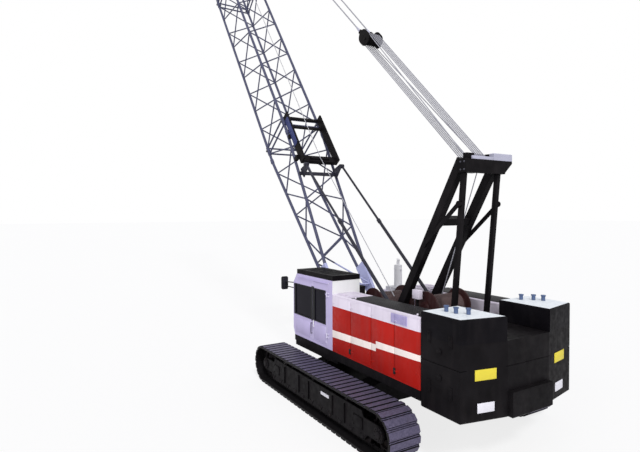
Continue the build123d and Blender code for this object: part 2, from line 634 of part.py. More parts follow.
with BuildPart() as cab_shell:
    with BuildSketch(across(CAB_Y[1])):
        Polygon(*CAB_OUTLINE, align=None)
    extrude(amount=CAB_DEPTH)
    with BuildSketch(across(CAB_Y[1] - CAB_WALL)):
        Polygon(*CAB_OUTLINE, align=None)
        offset(amount=-CAB_WALL, kind=Kind.INTERSECTION, mode=Mode.REPLACE)
    extrude(amount=CAB_DEPTH - 2 * CAB_WALL, mode=Mode.SUBTRACT)
    side_cuts = (  # x range, z range, outer wall plane
        (DOOR_X, DOOR_Z, CAB_Y[1]), (SIDE_WINDOW_X, WINDOW_Z, CAB_Y[1]),
        (RIGHT_WINDOW_X, WINDOW_Z, CAB_Y[0]),
    )
    for (x_low, x_high), (z_low, z_high), y in side_cuts:
        with Locations(((x_low + x_high) / 2, y, (z_low + z_high) / 2)):
            Box(x_high - x_low, 2.6 * CAB_WALL, z_high - z_low, mode=Mode.SUBTRACT)
    with Locations((CAB_X[1], sum(FRONT_WINDOW_Y) / 2, sum(FRONT_WINDOW_Z) / 2)):
        Box(2.6 * CAB_WALL, FRONT_WINDOW_Y[1] - FRONT_WINDOW_Y[0],
            FRONT_WINDOW_Z[1] - FRONT_WINDOW_Z[0], mode=Mode.SUBTRACT)
    for z in HINGE_Z:
        with Locations((*HINGE_AT, z - 1.5 * HINGE_KNUCKLE)):
            Cylinder(HINGE_PIN, 3 * HINGE_KNUCKLE, align=FLAT)
        with Locations((*HINGE_AT, z - 1.5 * HINGE_KNUCKLE), (*HINGE_AT, z + HINGE_KNUCKLE / 2)):
            Cylinder(HINGE_BARREL, HINGE_KNUCKLE, align=FLAT)
        with Locations((HINGE_AT[0] - 40, CAB_Y[1], z - 1.5 * HINGE_KNUCKLE),
                       (HINGE_AT[0] - 40, CAB_Y[1], z + HINGE_KNUCKLE / 2)):
            Box(80, 12, HINGE_KNUCKLE, align=(Align.CENTER, Align.MIN, Align.MIN))
save(cab_shell, "cab_shell")

KNUCKLE_GAP = 0.3

with BuildPart() as cab_door:
    with Locations((DOOR_X[0] + DOOR_GAP, CAB_Y[1], DOOR_Z[0] + DOOR_GAP)):
        Box(DOOR_X[1] - DOOR_X[0] - 2 * DOOR_GAP, CAB_WALL - 4,
            DOOR_Z[1] - DOOR_Z[0] - 2 * DOOR_GAP, align=(Align.MIN, Align.MAX, Align.MIN))
    with Locations((DOOR_WINDOW_X[0], CAB_Y[1], WINDOW_Z[0])):
        Box(DOOR_WINDOW_X[1] - DOOR_WINDOW_X[0], 3 * CAB_WALL, WINDOW_Z[1] - WINDOW_Z[0],
            align=(Align.MIN, Align.CENTER, Align.MIN), mode=Mode.SUBTRACT)
    for z in HINGE_Z:
        with Locations((*HINGE_AT, z - HINGE_KNUCKLE / 2 + KNUCKLE_GAP)):
            Cylinder(HINGE_BARREL, HINGE_KNUCKLE - 2 * KNUCKLE_GAP, align=FLAT)
        with Locations((HINGE_AT[0] + 5, CAB_Y[1] - 3, z - HINGE_KNUCKLE / 2 + KNUCKLE_GAP)):
            Box(80, 15, HINGE_KNUCKLE - 2 * KNUCKLE_GAP, align=(Align.MIN,) * 3)
        with Locations((*HINGE_AT, z)):
            Cylinder(HINGE_PIN + PIN_PLAY, 2 * HINGE_KNUCKLE, mode=Mode.SUBTRACT)
    with Locations((DOOR_X[1] - 55, CAB_Y[1] + 25, 1900)):
        Box(26, 26, 180)
    with Locations((DOOR_X[1] - 55, CAB_Y[1] + 8, 1830), (DOOR_X[1] - 55, CAB_Y[1] + 8, 1970)):
        Box(26, 40, 26)
save(cab_door, "cab_door")


def add_pane(x_range, z_range, y_face):
    """Pane that fills a side opening, in the middle of its wall."""
    with Locations(((x_range[0] + x_range[1]) / 2, y_face, (z_range[0] + z_range[1]) / 2)):
        Box(x_range[1] - x_range[0] - 2 * SEAT_GAP, GLASS, z_range[1] - z_range[0] - 2 * SEAT_GAP)


with BuildPart() as cab_door_glass:
    add_pane(DOOR_WINDOW_X, WINDOW_Z, CAB_Y[1] - CAB_WALL / 2)
save(cab_door_glass, "cab_door_glass")

with BuildPart() as cab_glass:
    add_pane(SIDE_WINDOW_X, WINDOW_Z, CAB_Y[1] - CAB_WALL / 2)
    add_pane(RIGHT_WINDOW_X, WINDOW_Z, CAB_Y[0] + CAB_WALL / 2)
    with Locations((CAB_X[1] - CAB_WALL / 2, sum(FRONT_WINDOW_Y) / 2, sum(FRONT_WINDOW_Z) / 2)):
        Box(GLASS, FRONT_WINDOW_Y[1] - FRONT_WINDOW_Y[0] - 2 * SEAT_GAP,
            FRONT_WINDOW_Z[1] - FRONT_WINDOW_Z[0] - 2 * SEAT_GAP)
save(cab_glass, "cab_glass")

SEAT_AT = (900, 1223)
CAB_FLOOR = CAB_Z[0] + CAB_WALL

with BuildPart() as cab_seat:
    with Locations((*SEAT_AT, CAB_FLOOR)):
        Box(360, 320, 260, align=FLAT)
    with Locations((*SEAT_AT, CAB_FLOOR + 260)):
        Box(500, 480, 130, align=FLAT)
    with BuildSketch(Plane.XZ.offset(-SEAT_AT[1] - 230)):
        Polygon((SEAT_AT[0] - 250, CAB_FLOOR + 300), (SEAT_AT[0] - 370, CAB_FLOOR + 1080),
                (SEAT_AT[0] - 260, CAB_FLOOR + 1080), (SEAT_AT[0] - 120, CAB_FLOOR + 300),
                align=None)
    extrude(amount=460)
save(cab_seat, "cab_seat")

with BuildPart() as cab_console:
    with Locations((1950, SEAT_AT[1], CAB_FLOOR)):
        Box(240, 560, 420, align=FLAT)
    with BuildSketch(Plane.XZ.offset(-SEAT_AT[1] - 280)):
        Polygon((1830, CAB_FLOOR + 400), (1830, CAB_FLOOR + 560), (1960, CAB_FLOOR + 640),
                (2070, CAB_FLOOR + 640), (2070, CAB_FLOOR + 400), align=None)
    extrude(amount=560)
    with Locations(*[(1800, SEAT_AT[1] + offset_y, CAB_FLOOR) for offset_y in (-120, 120)]):
        Cylinder(14, 620, align=FLAT)
    with Locations((1815, SEAT_AT[1], CAB_FLOOR)):
        Box(90, 300, 60, align=FLAT)
save(cab_console, "cab_console")

ROOF_GUARD_TOP = 3285

with BuildPart() as cab_roof_guard:
    with Locations((CAB_X[0] - 10, CAB_Y[0], CAB_Z[1])):
        Box(CAB_X[1] - 210 - CAB_X[0], CAB_DEPTH, ROOF_GUARD_TOP - CAB_Z[1], align=(Align.MIN,) * 3)
    slots = [(CAB_X[0] + 220 + 150 * index, sum(CAB_Y) / 2, ROOF_GUARD_TOP) for index in range(11)]
    with Locations(*slots):
        Box(70, CAB_DEPTH - 200, 120, mode=Mode.SUBTRACT)
save(cab_roof_guard, "cab_roof_guard")

MIRROR_AT = (2680, 1740, 2820)
MIRROR_SIZE = (60, 200, 380)
MIRROR_ARM = 14

with BuildPart() as cab_mirror:
    with Locations(MIRROR_AT):
        Box(*MIRROR_SIZE)
    chamfer(cab_mirror.edges().filter_by(Axis.X), 30)
    add_tubes((
        ((CAB_X[1] + MIRROR_ARM, CAB_Y[1] - 60, 2860), (MIRROR_AT[0], MIRROR_AT[1], 2860)),
        ((CAB_X[1] + MIRROR_ARM, CAB_Y[1] - 60, 2700), (MIRROR_AT[0], MIRROR_AT[1], 2740)),
        ((CAB_X[1] + MIRROR_ARM, CAB_Y[1] - 60, 2660), (CAB_X[1] + MIRROR_ARM, CAB_Y[1] - 60, 2885)),
    ), MIRROR_ARM)
save(cab_mirror, "cab_mirror")

# gantry
HEAD_BEAM_X = (-3245, -3035)
HEAD_BEAM_Z = (5700, 5980)
HEAD_BEAM_HALF = 600
SHEAVE_POCKET = (-3145, 195)  # rear end and half width of the recess for the head sheaves
FRONT_LEG = 190
REAR_LEG = 95
LEG_EYE = 110
GANTRY_CROSS_Z = 4700
BRACE_FRONT_Z = 4160
BRACE_REAR_Z = 5060
BRACE_Y = (590.5, 620)
REAR_APEX = (GANTRY_APEX[0], 6000)   # where the centre lines of the rear posts lead
SHEAVE_PLATE_Y = (200, 228)
SHEAVE_PLATE_RADIUS = 150
TIE_BLOCK_X = (-3120, -3020)
TIE_BLOCK_Z = (5960, 6120)
GUARD_X = (-3245, -3125)      # light beam on top, longer on the right side
GUARD_Y = (-820, -235)
GUARD_TOP = 6130


def on_line(start, end, z):
    """Point of a leg's centre line at height z."""
    share = (z - start[1]) / (end[1] - start[1])
    return (start[0] + share * (end[0] - start[0]), z)


FRONT_TOP = on_line(GANTRY_PIN, GANTRY_APEX, HEAD_BEAM_Z[1])
REAR_TOP = on_line(GANTRY_REAR_PIN, REAR_APEX, HEAD_BEAM_Z[0] - SEAT_GAP)
BRACE_FRONT = on_line(GANTRY_PIN, GANTRY_APEX, BRACE_FRONT_Z)
BRACE_REAR = on_line(GANTRY_REAR_PIN, REAR_APEX, BRACE_REAR_Z)

with BuildPart() as gantry_front:
    for low, high in (GANTRY_LEG_Y, (-GANTRY_LEG_Y[1], -GANTRY_LEG_Y[0])):
        with BuildSketch(across(high)):
            Polygon(*bar(GANTRY_PIN, FRONT_TOP, FRONT_LEG), align=None)
            with Locations(GANTRY_PIN):
                Circle(LEG_EYE)
                Circle(GANTRY_PIN_RADIUS + SEAT_GAP, mode=Mode.SUBTRACT)
        extrude(amount=high - low)
    cross_x, cross_z = on_line(GANTRY_PIN, GANTRY_APEX, GANTRY_CROSS_Z)
    with Locations(Location((cross_x, 0, cross_z), (0, -30, 0))):
        Box(150, 2 * GANTRY_LEG_Y[0] + 20, 170)
    with Locations((sum(HEAD_BEAM_X) / 2, 0, HEAD_BEAM_Z[0])):
        Box(HEAD_BEAM_X[1] - HEAD_BEAM_X[0], 2 * HEAD_BEAM_HALF, HEAD_BEAM_Z[1] - HEAD_BEAM_Z[0],
            align=FLAT)
    with Locations((SHEAVE_POCKET[0], 0, HEAD_BEAM_Z[0])):
        Box(HEAD_BEAM_X[1] - SHEAVE_POCKET[0], 2 * SHEAVE_POCKET[1], HEAD_BEAM_Z[1] - HEAD_BEAM_Z[0],
            align=(Align.MIN, Align.CENTER, Align.MIN), mode=Mode.SUBTRACT)
    # bracket that runs out to the right under the rope guard
    with BuildSketch(Plane.YZ.offset(HEAD_BEAM_X[0])):
        Polygon((-HEAD_BEAM_HALF + 10, HEAD_BEAM_Z[0] + 20), (-HEAD_BEAM_HALF + 10, HEAD_BEAM_Z[1]),
                (GUARD_Y[0], HEAD_BEAM_Z[1]), (GUARD_Y[0], HEAD_BEAM_Z[1] - 50), align=None)
    extrude(amount=HEAD_BEAM_X[1] - HEAD_BEAM_X[0])
    # plates that carry the sheave shaft, tied to the legs
    shaft_x, shaft_z = HEAD_SHAFT
    for side in LEFT_AND_RIGHT:
        near, far = SHEAVE_PLATE_Y
        with BuildSketch(across(max(side * near, side * far))):
            Polygon((HEAD_BEAM_X[0] + 5, HEAD_BEAM_Z[0] + 10), (HEAD_BEAM_X[0] + 5, HEAD_BEAM_Z[1] + 10),
                    (shaft_x - 39, shaft_z + 145), (shaft_x + 134, shaft_z - 67),
                    (HEAD_BEAM_X[1], HEAD_BEAM_Z[0] + 10), align=None)
            with Locations(HEAD_SHAFT):
                Circle(SHEAVE_PLATE_RADIUS)
                Circle(HEAD_SHAFT_RADIUS + SEAT_GAP, mode=Mode.SUBTRACT)
        extrude(amount=far - near)
        with Locations((sum(TIE_BLOCK_X) / 2, side * (far + GANTRY_LEG_Y[0]) / 2,
                        sum(TIE_BLOCK_Z) / 2)):
            Box(TIE_BLOCK_X[1] - TIE_BLOCK_X[0], GANTRY_LEG_Y[0] - far + 20,
                TIE_BLOCK_Z[1] - TIE_BLOCK_Z[0])
save(gantry_front, "gantry_front")

with BuildPart() as gantry_rope_guard:
    with Locations((GUARD_X[0], GUARD_Y[0], HEAD_BEAM_Z[1] + SEAT_GAP)):
        Box(GUARD_X[1] - GUARD_X[0], GUARD_Y[1] - GUARD_Y[0],
            GUARD_TOP - HEAD_BEAM_Z[1] - SEAT_GAP, align=(Align.MIN,) * 3)
    chamfer(gantry_rope_guard.faces().sort_by(Axis.Z)[-1].edges(), 12)
save(gantry_rope_guard, "gantry_rope_guard")

with BuildPart() as gantry_rear:
    for side in LEFT_AND_RIGHT:
        y_high = max(side * GANTRY_REAR_Y[0], side * GANTRY_REAR_Y[1])
        with BuildSketch(across(y_high)):
            Polygon(*bar(GANTRY_REAR_PIN, REAR_TOP, REAR_LEG), align=None)
            with Locations(GANTRY_REAR_PIN):
                Circle(LEG_EYE - 15)
                Circle(GANTRY_PIN_RADIUS + SEAT_GAP, mode=Mode.SUBTRACT)
            with Locations((REAR_TOP[0], HEAD_BEAM_Z[0])):
                Rectangle(2 * REAR_LEG, 200, align=(Align.CENTER, Align.MIN), mode=Mode.SUBTRACT)
        extrude(amount=GANTRY_REAR_Y[1] - GANTRY_REAR_Y[0])
        y_high = max(side * BRACE_Y[0], side * BRACE_Y[1])
        with BuildSketch(across(y_high)):
            Polygon(*bar(BRACE_FRONT, BRACE_REAR, 90), align=None)
            with Locations(BRACE_FRONT, BRACE_REAR):
                Circle(62)
        extrude(amount=BRACE_Y[1] - BRACE_Y[0])
        y_high = max(side * (GANTRY_REAR_Y[1] - 20), side * BRACE_Y[1])
        with BuildSketch(across(y_high)):
            with Locations(BRACE_REAR):
                Circle(50)
        extrude(amount=BRACE_Y[1] - GANTRY_REAR_Y[1] + 20)
save(gantry_rear, "gantry_rear")


def add_sheaves(places, flange_radius, groove_radius, width, lip=8):
    """Grooved sheaves that turn about the Y direction of the working plane."""
    with Locations(*[Location(place, (90, 0, 0)) for place in places]):
        Cylinder(groove_radius, width)
    rims = [Location((place[0], place[1] + side * (width - lip) / 2, place[2]), (90, 0, 0))
            for place in places for side in LEFT_AND_RIGHT]
    with Locations(*rims):
        Cylinder(flange_radius, lip)


FALL_PITCH = 70         # between neighbouring ropes of the suspension
FALL_OUT = 155          # rope centres from the middle of the suspension, above and below
HEAD_FALLS = [(index - 2) * FALL_PITCH for index in range(5)]
SPREADER_FALLS = [(index - 2.5) * FALL_PITCH for index in range(6)]
FALL_SHEAVE_RADIUS = 158
FALL_SHEAVE_WIDTH = 62
FALL_GROOVE = FALL_OUT - ROPE_RADIUS - SEAT_GAP

with BuildPart() as gantry_sheaves:
    add_sheaves([(HEAD_SHAFT[0], y, HEAD_SHAFT[1]) for y in HEAD_FALLS], FALL_SHEAVE_RADIUS,
                FALL_GROOVE, FALL_SHEAVE_WIDTH, lip=6)
    with Locations(Location((HEAD_SHAFT[0], 0, HEAD_SHAFT[1]), (90, 0, 0))):
        Cylinder(HEAD_SHAFT_RADIUS, 2 * (SHEAVE_PLATE_Y[1] + 12))
save(gantry_sheaves, "gantry_sheaves")

# boom
EAR_HALF = 45           # half thickness of a boom foot
EAR_RADIUS = 150
FOOT_START = 500        # chords begin inside the foot plates
FOOT_PLATE_END = 1650
FOOT_PLATE_EDGE = 40    # beyond the chord centres at that end
SECTION_GAP = SEAT_GAP
SLEEVE_RADIUS = 64
SLEEVE_LENGTH = 170
COLLAR_HALF = 75        # half length of the collar over a bend in a chord
BEND_GAP = 20           # the chords stop short of each other inside the collar
BAY = 950
BASE_BEND = BASE_LENGTH - 500
BASE_LACING = (900, BASE_LENGTH - 110)
BASE_BAY_COUNT = 6
BASE_BAYS = [BASE_LACING[0] + share / BASE_BAY_COUNT * (BASE_LACING[1] - BASE_LACING[0])
             for share in range(BASE_BAY_COUNT + 1)]
TOP_LACING_START = UPPER_INSERT_END + 130
TOP_BAYS = [TOP_LACING_START + share / 3 * (TOP_TAPER_START - TOP_LACING_START)
            for share in range(3)]
TOP_BAYS += [TOP_TAPER_START + share * 960 for share in range(6)]


def half_depth(along):
    """Half distance between upper and lower chords at a place along the boom."""
    if along < BASE_BEND:
        return BOOM_HALF_DEPTH * along / BASE_BEND
    if along > TOP_TAPER_START:
        share = min(1, (along - TOP_TAPER_START) / (HEAD_START - TOP_TAPER_START))
        return BOOM_HALF_DEPTH + share * (HEAD_HALF_DEPTH - BOOM_HALF_DEPTH)
    return BOOM_HALF_DEPTH


def half_width(along):
    """Half distance between left and right chords."""
    share = max(0, (along - TOP_TAPER_START) / (HEAD_START - TOP_TAPER_START))
    return BOOM_HALF_WIDTH + min(1, share) * (HEAD_HALF_WIDTH - BOOM_HALF_WIDTH)


def corner(along, side, face):
    """Point on one of the four chords: side is left or right, face is upper or lower."""
    return (along, side * half_width(along), face * half_depth(along))


CORNERS = [(side, face) for side in LEFT_AND_RIGHT for face in (1, -1)]


def add_lacing(stations):
    """Zigzag on all four faces, with a batten frame at both ends."""
    zigzag = []
    for index, (near, far) in enumerate(zip(stations, stations[1:])):
        turn = 1 if index % 2 else -1
        for side in LEFT_AND_RIGHT:
            zigzag.append((corner(near, side, turn), corner(far, side, -turn)))
            zigzag.append((corner(near, turn, side), corner(far, -turn, side)))
    add_tubes(zigzag, LACING_RADIUS)
    frames = []
    for along in (stations[0], stations[-1]):
        for side in LEFT_AND_RIGHT:
            frames.append((corner(along, side, 1), corner(along, side, -1)))
            frames.append((corner(along, 1, side), corner(along, -1, side)))
    add_tubes(frames, BATTEN_RADIUS)


def add_chords(stations):
    """Chord tubes that bend at the inner stations, each bend inside a short collar."""
    for bend in stations[1:-1]:
        collar = [((bend - COLLAR_HALF, *corner(bend, *place)[1:]),
                   (bend + COLLAR_HALF, *corner(bend, *place)[1:])) for place in CORNERS]
        add_tubes(collar, SLEEVE_RADIUS)
    for index, (near, far) in enumerate(zip(stations, stations[1:])):
        start = near + BEND_GAP if index else near
        end = far if far == stations[-1] else far - BEND_GAP
        add_tubes([(corner(start, *place), corner(end, *place)) for place in CORNERS],
                  CHORD_RADIUS)


def add_sleeves(start, end):
    """Thicker chord ends where two boom sections are pinned together."""
    add_tubes([(corner(start, *place), corner(end, *place)) for place in CORNERS], SLEEVE_RADIUS)


def insert_stations(start, length):
    bays = round((length - 300) / BAY)
    return [start + 150 + index * (length - 300) / bays for index in range(bays + 1)]


with BuildPart(BOOM_PLANE) as boom_base:
    add_chords((FOOT_START, BASE_BEND, BASE_LENGTH - SECTION_GAP))
    add_lacing(BASE_BAYS)
    add_sleeves(BASE_LENGTH - SLEEVE_LENGTH, BASE_LENGTH - SECTION_GAP)
    for side in LEFT_AND_RIGHT:
        foot = Plane(BOOM_PLANE.location * Location((0, side * BOOM_HALF_WIDTH, 0), (90, 0, 0)))
        with BuildSketch(foot):
            Polygon((0, -EAR_RADIUS), (FOOT_PLATE_END, -half_depth(FOOT_PLATE_END) - FOOT_PLATE_EDGE),
                    (FOOT_PLATE_END, half_depth(FOOT_PLATE_END) + FOOT_PLATE_EDGE), (0, EAR_RADIUS),
                    align=None)
            Circle(EAR_RADIUS)
            Circle(BOOM_PIN_RADIUS + PIN_PLAY, mode=Mode.SUBTRACT)
        extrude(amount=EAR_HALF, both=True)
save(boom_base, "boom_base")

with BuildPart(BOOM_PLANE) as boom_lower_insert:
    add_chords((BASE_LENGTH, LOWER_INSERT_END - SECTION_GAP))
    add_lacing(insert_stations(BASE_LENGTH, LOWER_INSERT))
    add_sleeves(BASE_LENGTH, BASE_LENGTH + SLEEVE_LENGTH)
    add_sleeves(LOWER_INSERT_END - SLEEVE_LENGTH, LOWER_INSERT_END - SECTION_GAP)
save(boom_lower_insert, "boom_lower_insert")

with BuildPart(BOOM_PLANE) as boom_upper_insert:
    add_chords((LOWER_INSERT_END, UPPER_INSERT_END - SECTION_GAP))
    add_lacing(insert_stations(LOWER_INSERT_END, UPPER_INSERT))
    add_sleeves(LOWER_INSERT_END, LOWER_INSERT_END + SLEEVE_LENGTH)
    add_sleeves(UPPER_INSERT_END - SLEEVE_LENGTH, UPPER_INSERT_END - SECTION_GAP)
save(boom_upper_insert, "boom_upper_insert")

HEAD_PLATE = (405, 445)
PENDANT_ANCHOR = (HEAD_SHEAVE_S - 300, 420)   # along the boom and out from its centre line
HEAD_OUTLINE = [(HEAD_SHEAVE_S + run, out) for run, out in (
    (-1350, 395), (-440, 560), (-160, 520), (-100, 300), (200, -520), (150, -730),
    (-100, -770), (-1350, -395),
)]
GUIDE_SHEAVE = (HEAD_SHEAVE_S - 650, 260)
HEAD_PIN_RADIUS = 55

with BuildPart(BOOM_PLANE) as boom_top:
    add_chords((UPPER_INSERT_END, TOP_TAPER_START, HEAD_START))
    add_lacing(TOP_BAYS)
    add_sleeves(UPPER_INSERT_END, UPPER_INSERT_END + SLEEVE_LENGTH)
    for side in LEFT_AND_RIGHT:
        centre = side * sum(HEAD_PLATE) / 2
        plate = Plane(BOOM_PLANE.location * Location((0, centre, 0), (90, 0, 0)))
        with BuildSketch(plate):
            Polygon(*HEAD_OUTLINE, align=None)
            with Locations((HEAD_SHEAVE_S, HEAD_SHEAVE_N), GUIDE_SHEAVE):
                Circle(HEAD_PIN_RADIUS + SEAT_GAP, mode=Mode.SUBTRACT)
        extrude(amount=(HEAD_PLATE[1] - HEAD_PLATE[0]) / 2, both=True)
    add_tubes([((PENDANT_ANCHOR[0], -HEAD_PLATE[1] - 60, PENDANT_ANCHOR[1]),
                (PENDANT_ANCHOR[0], HEAD_PLATE[1] + 60, PENDANT_ANCHOR[1]))], 45)
save(boom_top, "boom_top")

with BuildPart(BOOM_PLANE) as boom_sheaves:
    hoist = [(HEAD_SHEAVE_S, side * 75, HEAD_SHEAVE_N) for side in LEFT_AND_RIGHT]
    add_sheaves(hoist, HOIST_SHEAVE_RADIUS, HOIST_GROOVE_RADIUS, 70)
    add_sheaves([(GUIDE_SHEAVE[0], 0, GUIDE_SHEAVE[1])], 230, 200, 70)
    for along, out in ((HEAD_SHEAVE_S, HEAD_SHEAVE_N), GUIDE_SHEAVE):
        with Locations(Location((along, 0, out), (90, 0, 0))):
            Cylinder(HEAD_PIN_RADIUS, 2 * HEAD_PLATE[1] + 40)
save(boom_sheaves, "boom_sheaves")

# rope guide frame on the back of the lower joint
GUIDE_FRAME_S = (BASE_LENGTH - 1950, BASE_LENGTH + 150)
GUIDE_FRAME_HALF = 655
GUIDE_FRAME_BACK = BOOM_HALF_DEPTH + CHORD_RADIUS + 30
GUIDE_PLATE = (60, 270)      # thickness and depth of the side plates
GUIDE_BARS = (  # start along the boom, width, depth
    (GUIDE_FRAME_S[0], 240, 130), (BASE_LENGTH - 360, 90, 60), (GUIDE_FRAME_S[1] - 90, 90, 60),
)
GUIDE_FEET = (BASE_LENGTH - 1650, BASE_LENGTH - 750)
BASE_TAPER = degrees(atan2(BOOM_HALF_DEPTH, BASE_BEND))


def on_back(along, side):
    """Seat on the back of a chord in the tapered part of the base, tilted with the chord."""
    seat = half_depth(along) + (CHORD_RADIUS + SEAT_GAP) / cos(radians(BASE_TAPER))
    return Location((along, side * BOOM_HALF_WIDTH, seat), (0, -BASE_TAPER, 0))


with BuildPart(BOOM_PLANE) as boom_guide_frame:
    for side in LEFT_AND_RIGHT:
        with Locations((GUIDE_FRAME_S[0], side * GUIDE_FRAME_HALF, GUIDE_FRAME_BACK)):
            Box(GUIDE_FRAME_S[1] - GUIDE_FRAME_S[0], *GUIDE_PLATE,
                align=(Align.MIN, Align.CENTER, Align.MIN))
    for start, width, depth in GUIDE_BARS:
        with Locations((start, 0, GUIDE_FRAME_BACK)):
            Box(width, 2 * GUIDE_FRAME_HALF, depth, align=(Align.MIN, Align.CENTER, Align.MIN))
    for along in GUIDE_FEET:
        rise = GUIDE_FRAME_BACK - half_depth(along) - CHORD_RADIUS
        with Locations(*[on_back(along, side) for side in LEFT_AND_RIGHT]):
            Box(120, 110, rise + 30, align=FLAT)
save(boom_guide_frame, "boom_guide_frame")

# backstops
BACKSTOP_EYE = (BASE_LENGTH - 2200, 1050)     # along the boom and out from its centre line
BACKSTOP_Y = (648, 732)
BACKSTOP_TUBE = 46
BACKSTOP_ROD = 34
BACKSTOP_TUBE_LENGTH = 3300
BACKSTOP_BORE_START = 950
BACKSTOP_ROD_LENGTH = 3900
BACKSTOP_BRACKET = (600, 636)
EYE_RADIUS = 72

boom_x, boom_z = BOOM_PLANE.x_dir, BOOM_PLANE.z_dir
eye_at = BOOM_PLANE.origin + boom_x * BACKSTOP_EYE[0] + boom_z * BACKSTOP_EYE[1]
BACKSTOP_RUN = eye_at - Vector(BACKSTOP_PIN[0], 0, BACKSTOP_PIN[1])
BACKSTOP_PLANE = Plane(
    origin=(BACKSTOP_PIN[0], 0, BACKSTOP_PIN[1]), x_dir=BACKSTOP_RUN,
    z_dir=Vector(-BACKSTOP_RUN.Z, 0, BACKSTOP_RUN.X),
)
BACKSTOP_MIDDLE = sum(BACKSTOP_Y) / 2

with BuildPart(BACKSTOP_PLANE) as backstop_tubes:
    for side in LEFT_AND_RIGHT:
        y = side * BACKSTOP_MIDDLE
        add_tubes([((0, y, 0), (BACKSTOP_TUBE_LENGTH, y, 0))], BACKSTOP_TUBE)
        with Locations(Location((0, y, 0), (90, 0, 0))):
            Cylinder(EYE_RADIUS, BACKSTOP_Y[1] - BACKSTOP_Y[0])
        with Locations(Location((BACKSTOP_BORE_START, y, 0), (0, 90, 0))):
            Cylinder(BACKSTOP_ROD + PIN_PLAY, BACKSTOP_TUBE_LENGTH, align=FLAT, mode=Mode.SUBTRACT)
        with Locations(Location((0, y, 0), (90, 0, 0))):
            Cylinder(BACKSTOP_PIN_RADIUS + PIN_PLAY, 200, mode=Mode.SUBTRACT)
save(backstop_tubes, "backstop_tubes")

with BuildPart(BACKSTOP_PLANE) as backstop_rods:
    length = BACKSTOP_RUN.length
    for side in LEFT_AND_RIGHT:
        y = side * BACKSTOP_MIDDLE
        add_tubes([((length - BACKSTOP_ROD_LENGTH, y, 0), (length, y, 0))], BACKSTOP_ROD)
        with Locations(Location((length, y, 0), (90, 0, 0))):
            Cylinder(EYE_RADIUS, BACKSTOP_Y[1] - BACKSTOP_Y[0])
            Cylinder(BACKSTOP_PIN_RADIUS, 200, mode=Mode.SUBTRACT)
save(backstop_rods, "backstop_rods")

with BuildPart(BOOM_PLANE) as backstop_brackets:
    along, out = BACKSTOP_EYE
    beam = on_back(along, 0)
    with Locations(beam):
        Box(110, 2 * BOOM_HALF_WIDTH + 60, 50, align=FLAT)
    for side in LEFT_AND_RIGHT:
        low, high = BACKSTOP_BRACKET
        y_mid = side * (low + high) / 2
        plate = Plane(BOOM_PLANE.location * Location((0, y_mid, 0), (90, 0, 0)))
        foot_n = beam.position.Z + 12
        with BuildSketch(plate):
            Polygon((along - 180, foot_n + 25), (along - 70, out), (along + 70, out),
                    (along + 180, foot_n + 25), (along + 70, foot_n), (along - 70, foot_n),
                    align=None)
            with Locations((along, out)):
                Circle(70)
        extrude(amount=(high - low) / 2, both=True)
save(backstop_brackets, "backstop_brackets")

# boom suspension
anchor_at = BOOM_PLANE.origin + boom_x * PENDANT_ANCHOR[0] + boom_z * PENDANT_ANCHOR[1]
RIG_RUN = anchor_at - Vector(HEAD_SHAFT[0], 0, HEAD_SHAFT[1])
RIG_PLANE = Plane(
    origin=(HEAD_SHAFT[0], 0, HEAD_SHAFT[1]), x_dir=RIG_RUN,
    z_dir=Vector(-RIG_RUN.Z, 0, RIG_RUN.X),
)
SPREADER_AT = 5200
UPPER_FALLS_START = 2200
LOWER_FALLS_END = 2300  # the two stretches pass beside each other here
SPREADER_PLATE_Y = (216, 240)
SPREADER_PIN = 38
SPREADER_SLOT = (130, 380)
CROSSBAR_AT = 250       # beyond the spreader's shaft
SOCKET_AT = 330
SOCKET = (200, 60, 110)
PENDANT_Y = 180
PENDANT_RADIUS = 18


def add_falls(planes, shaft, free):
    """Ropes that come from the free end, go round the sheaves on a shaft and back again."""
    add_tubes([((min(shaft, free), y, face * FALL_OUT), (max(shaft, free), y, face * FALL_OUT))
               for y in planes for face in (1, -1)], ROPE_RADIUS)
    centre = RIG_PLANE.origin + RIG_PLANE.x_dir * shaft
    turn = 1 if shaft > free else -1
    with BuildSketch(Plane(origin=centre, x_dir=(0, 1, 0), z_dir=RIG_PLANE.x_dir)) as sections:
        with Locations(*[(y, FALL_OUT) for y in planes]):
            Circle(ROPE_RADIUS)
    revolve(sections.sketch, axis=Axis(centre, (0, turn, 0)), revolution_arc=180)


with BuildPart(RIG_PLANE) as luffing_ropes_lower:
    add_falls(HEAD_FALLS, 0, LOWER_FALLS_END)
save(luffing_ropes_lower, "luffing_ropes_lower")

with BuildPart(RIG_PLANE) as luffing_ropes_upper:
    add_falls(SPREADER_FALLS, UPPER_FALLS_START, SPREADER_AT)
save(luffing_ropes_upper, "luffing_ropes_upper")

with BuildPart(RIG_PLANE) as spreader:
    add_sheaves([(SPREADER_AT, y, 0) for y in SPREADER_FALLS], FALL_SHEAVE_RADIUS,
                FALL_GROOVE, FALL_SHEAVE_WIDTH, lip=6)
    with Locations(Location((SPREADER_AT, 0, 0), (90, 0, 0))):
        Cylinder(SPREADER_PIN, 2 * SPREADER_PLATE_Y[1] + 30)
    for side in LEFT_AND_RIGHT:
        centre = side * sum(SPREADER_PLATE_Y) / 2
        plate = Plane(RIG_PLANE.location * Location((0, centre, 0), (90, 0, 0)))
        with BuildSketch(plate):
            with Locations((SPREADER_AT + SPREADER_SLOT[0] / 2, 0)):
                SlotCenterToCenter(*SPREADER_SLOT)
        extrude(amount=(SPREADER_PLATE_Y[1] - SPREADER_PLATE_Y[0]) / 2, both=True)
    with Locations((SPREADER_AT + CROSSBAR_AT, 0, 0)):
        Box(90, 2 * SPREADER_PLATE_Y[1], 150)
    with Locations(*[(SPREADER_AT + SOCKET_AT, side * PENDANT_Y, 0) for side in LEFT_AND_RIGHT]):
        Box(*SOCKET)
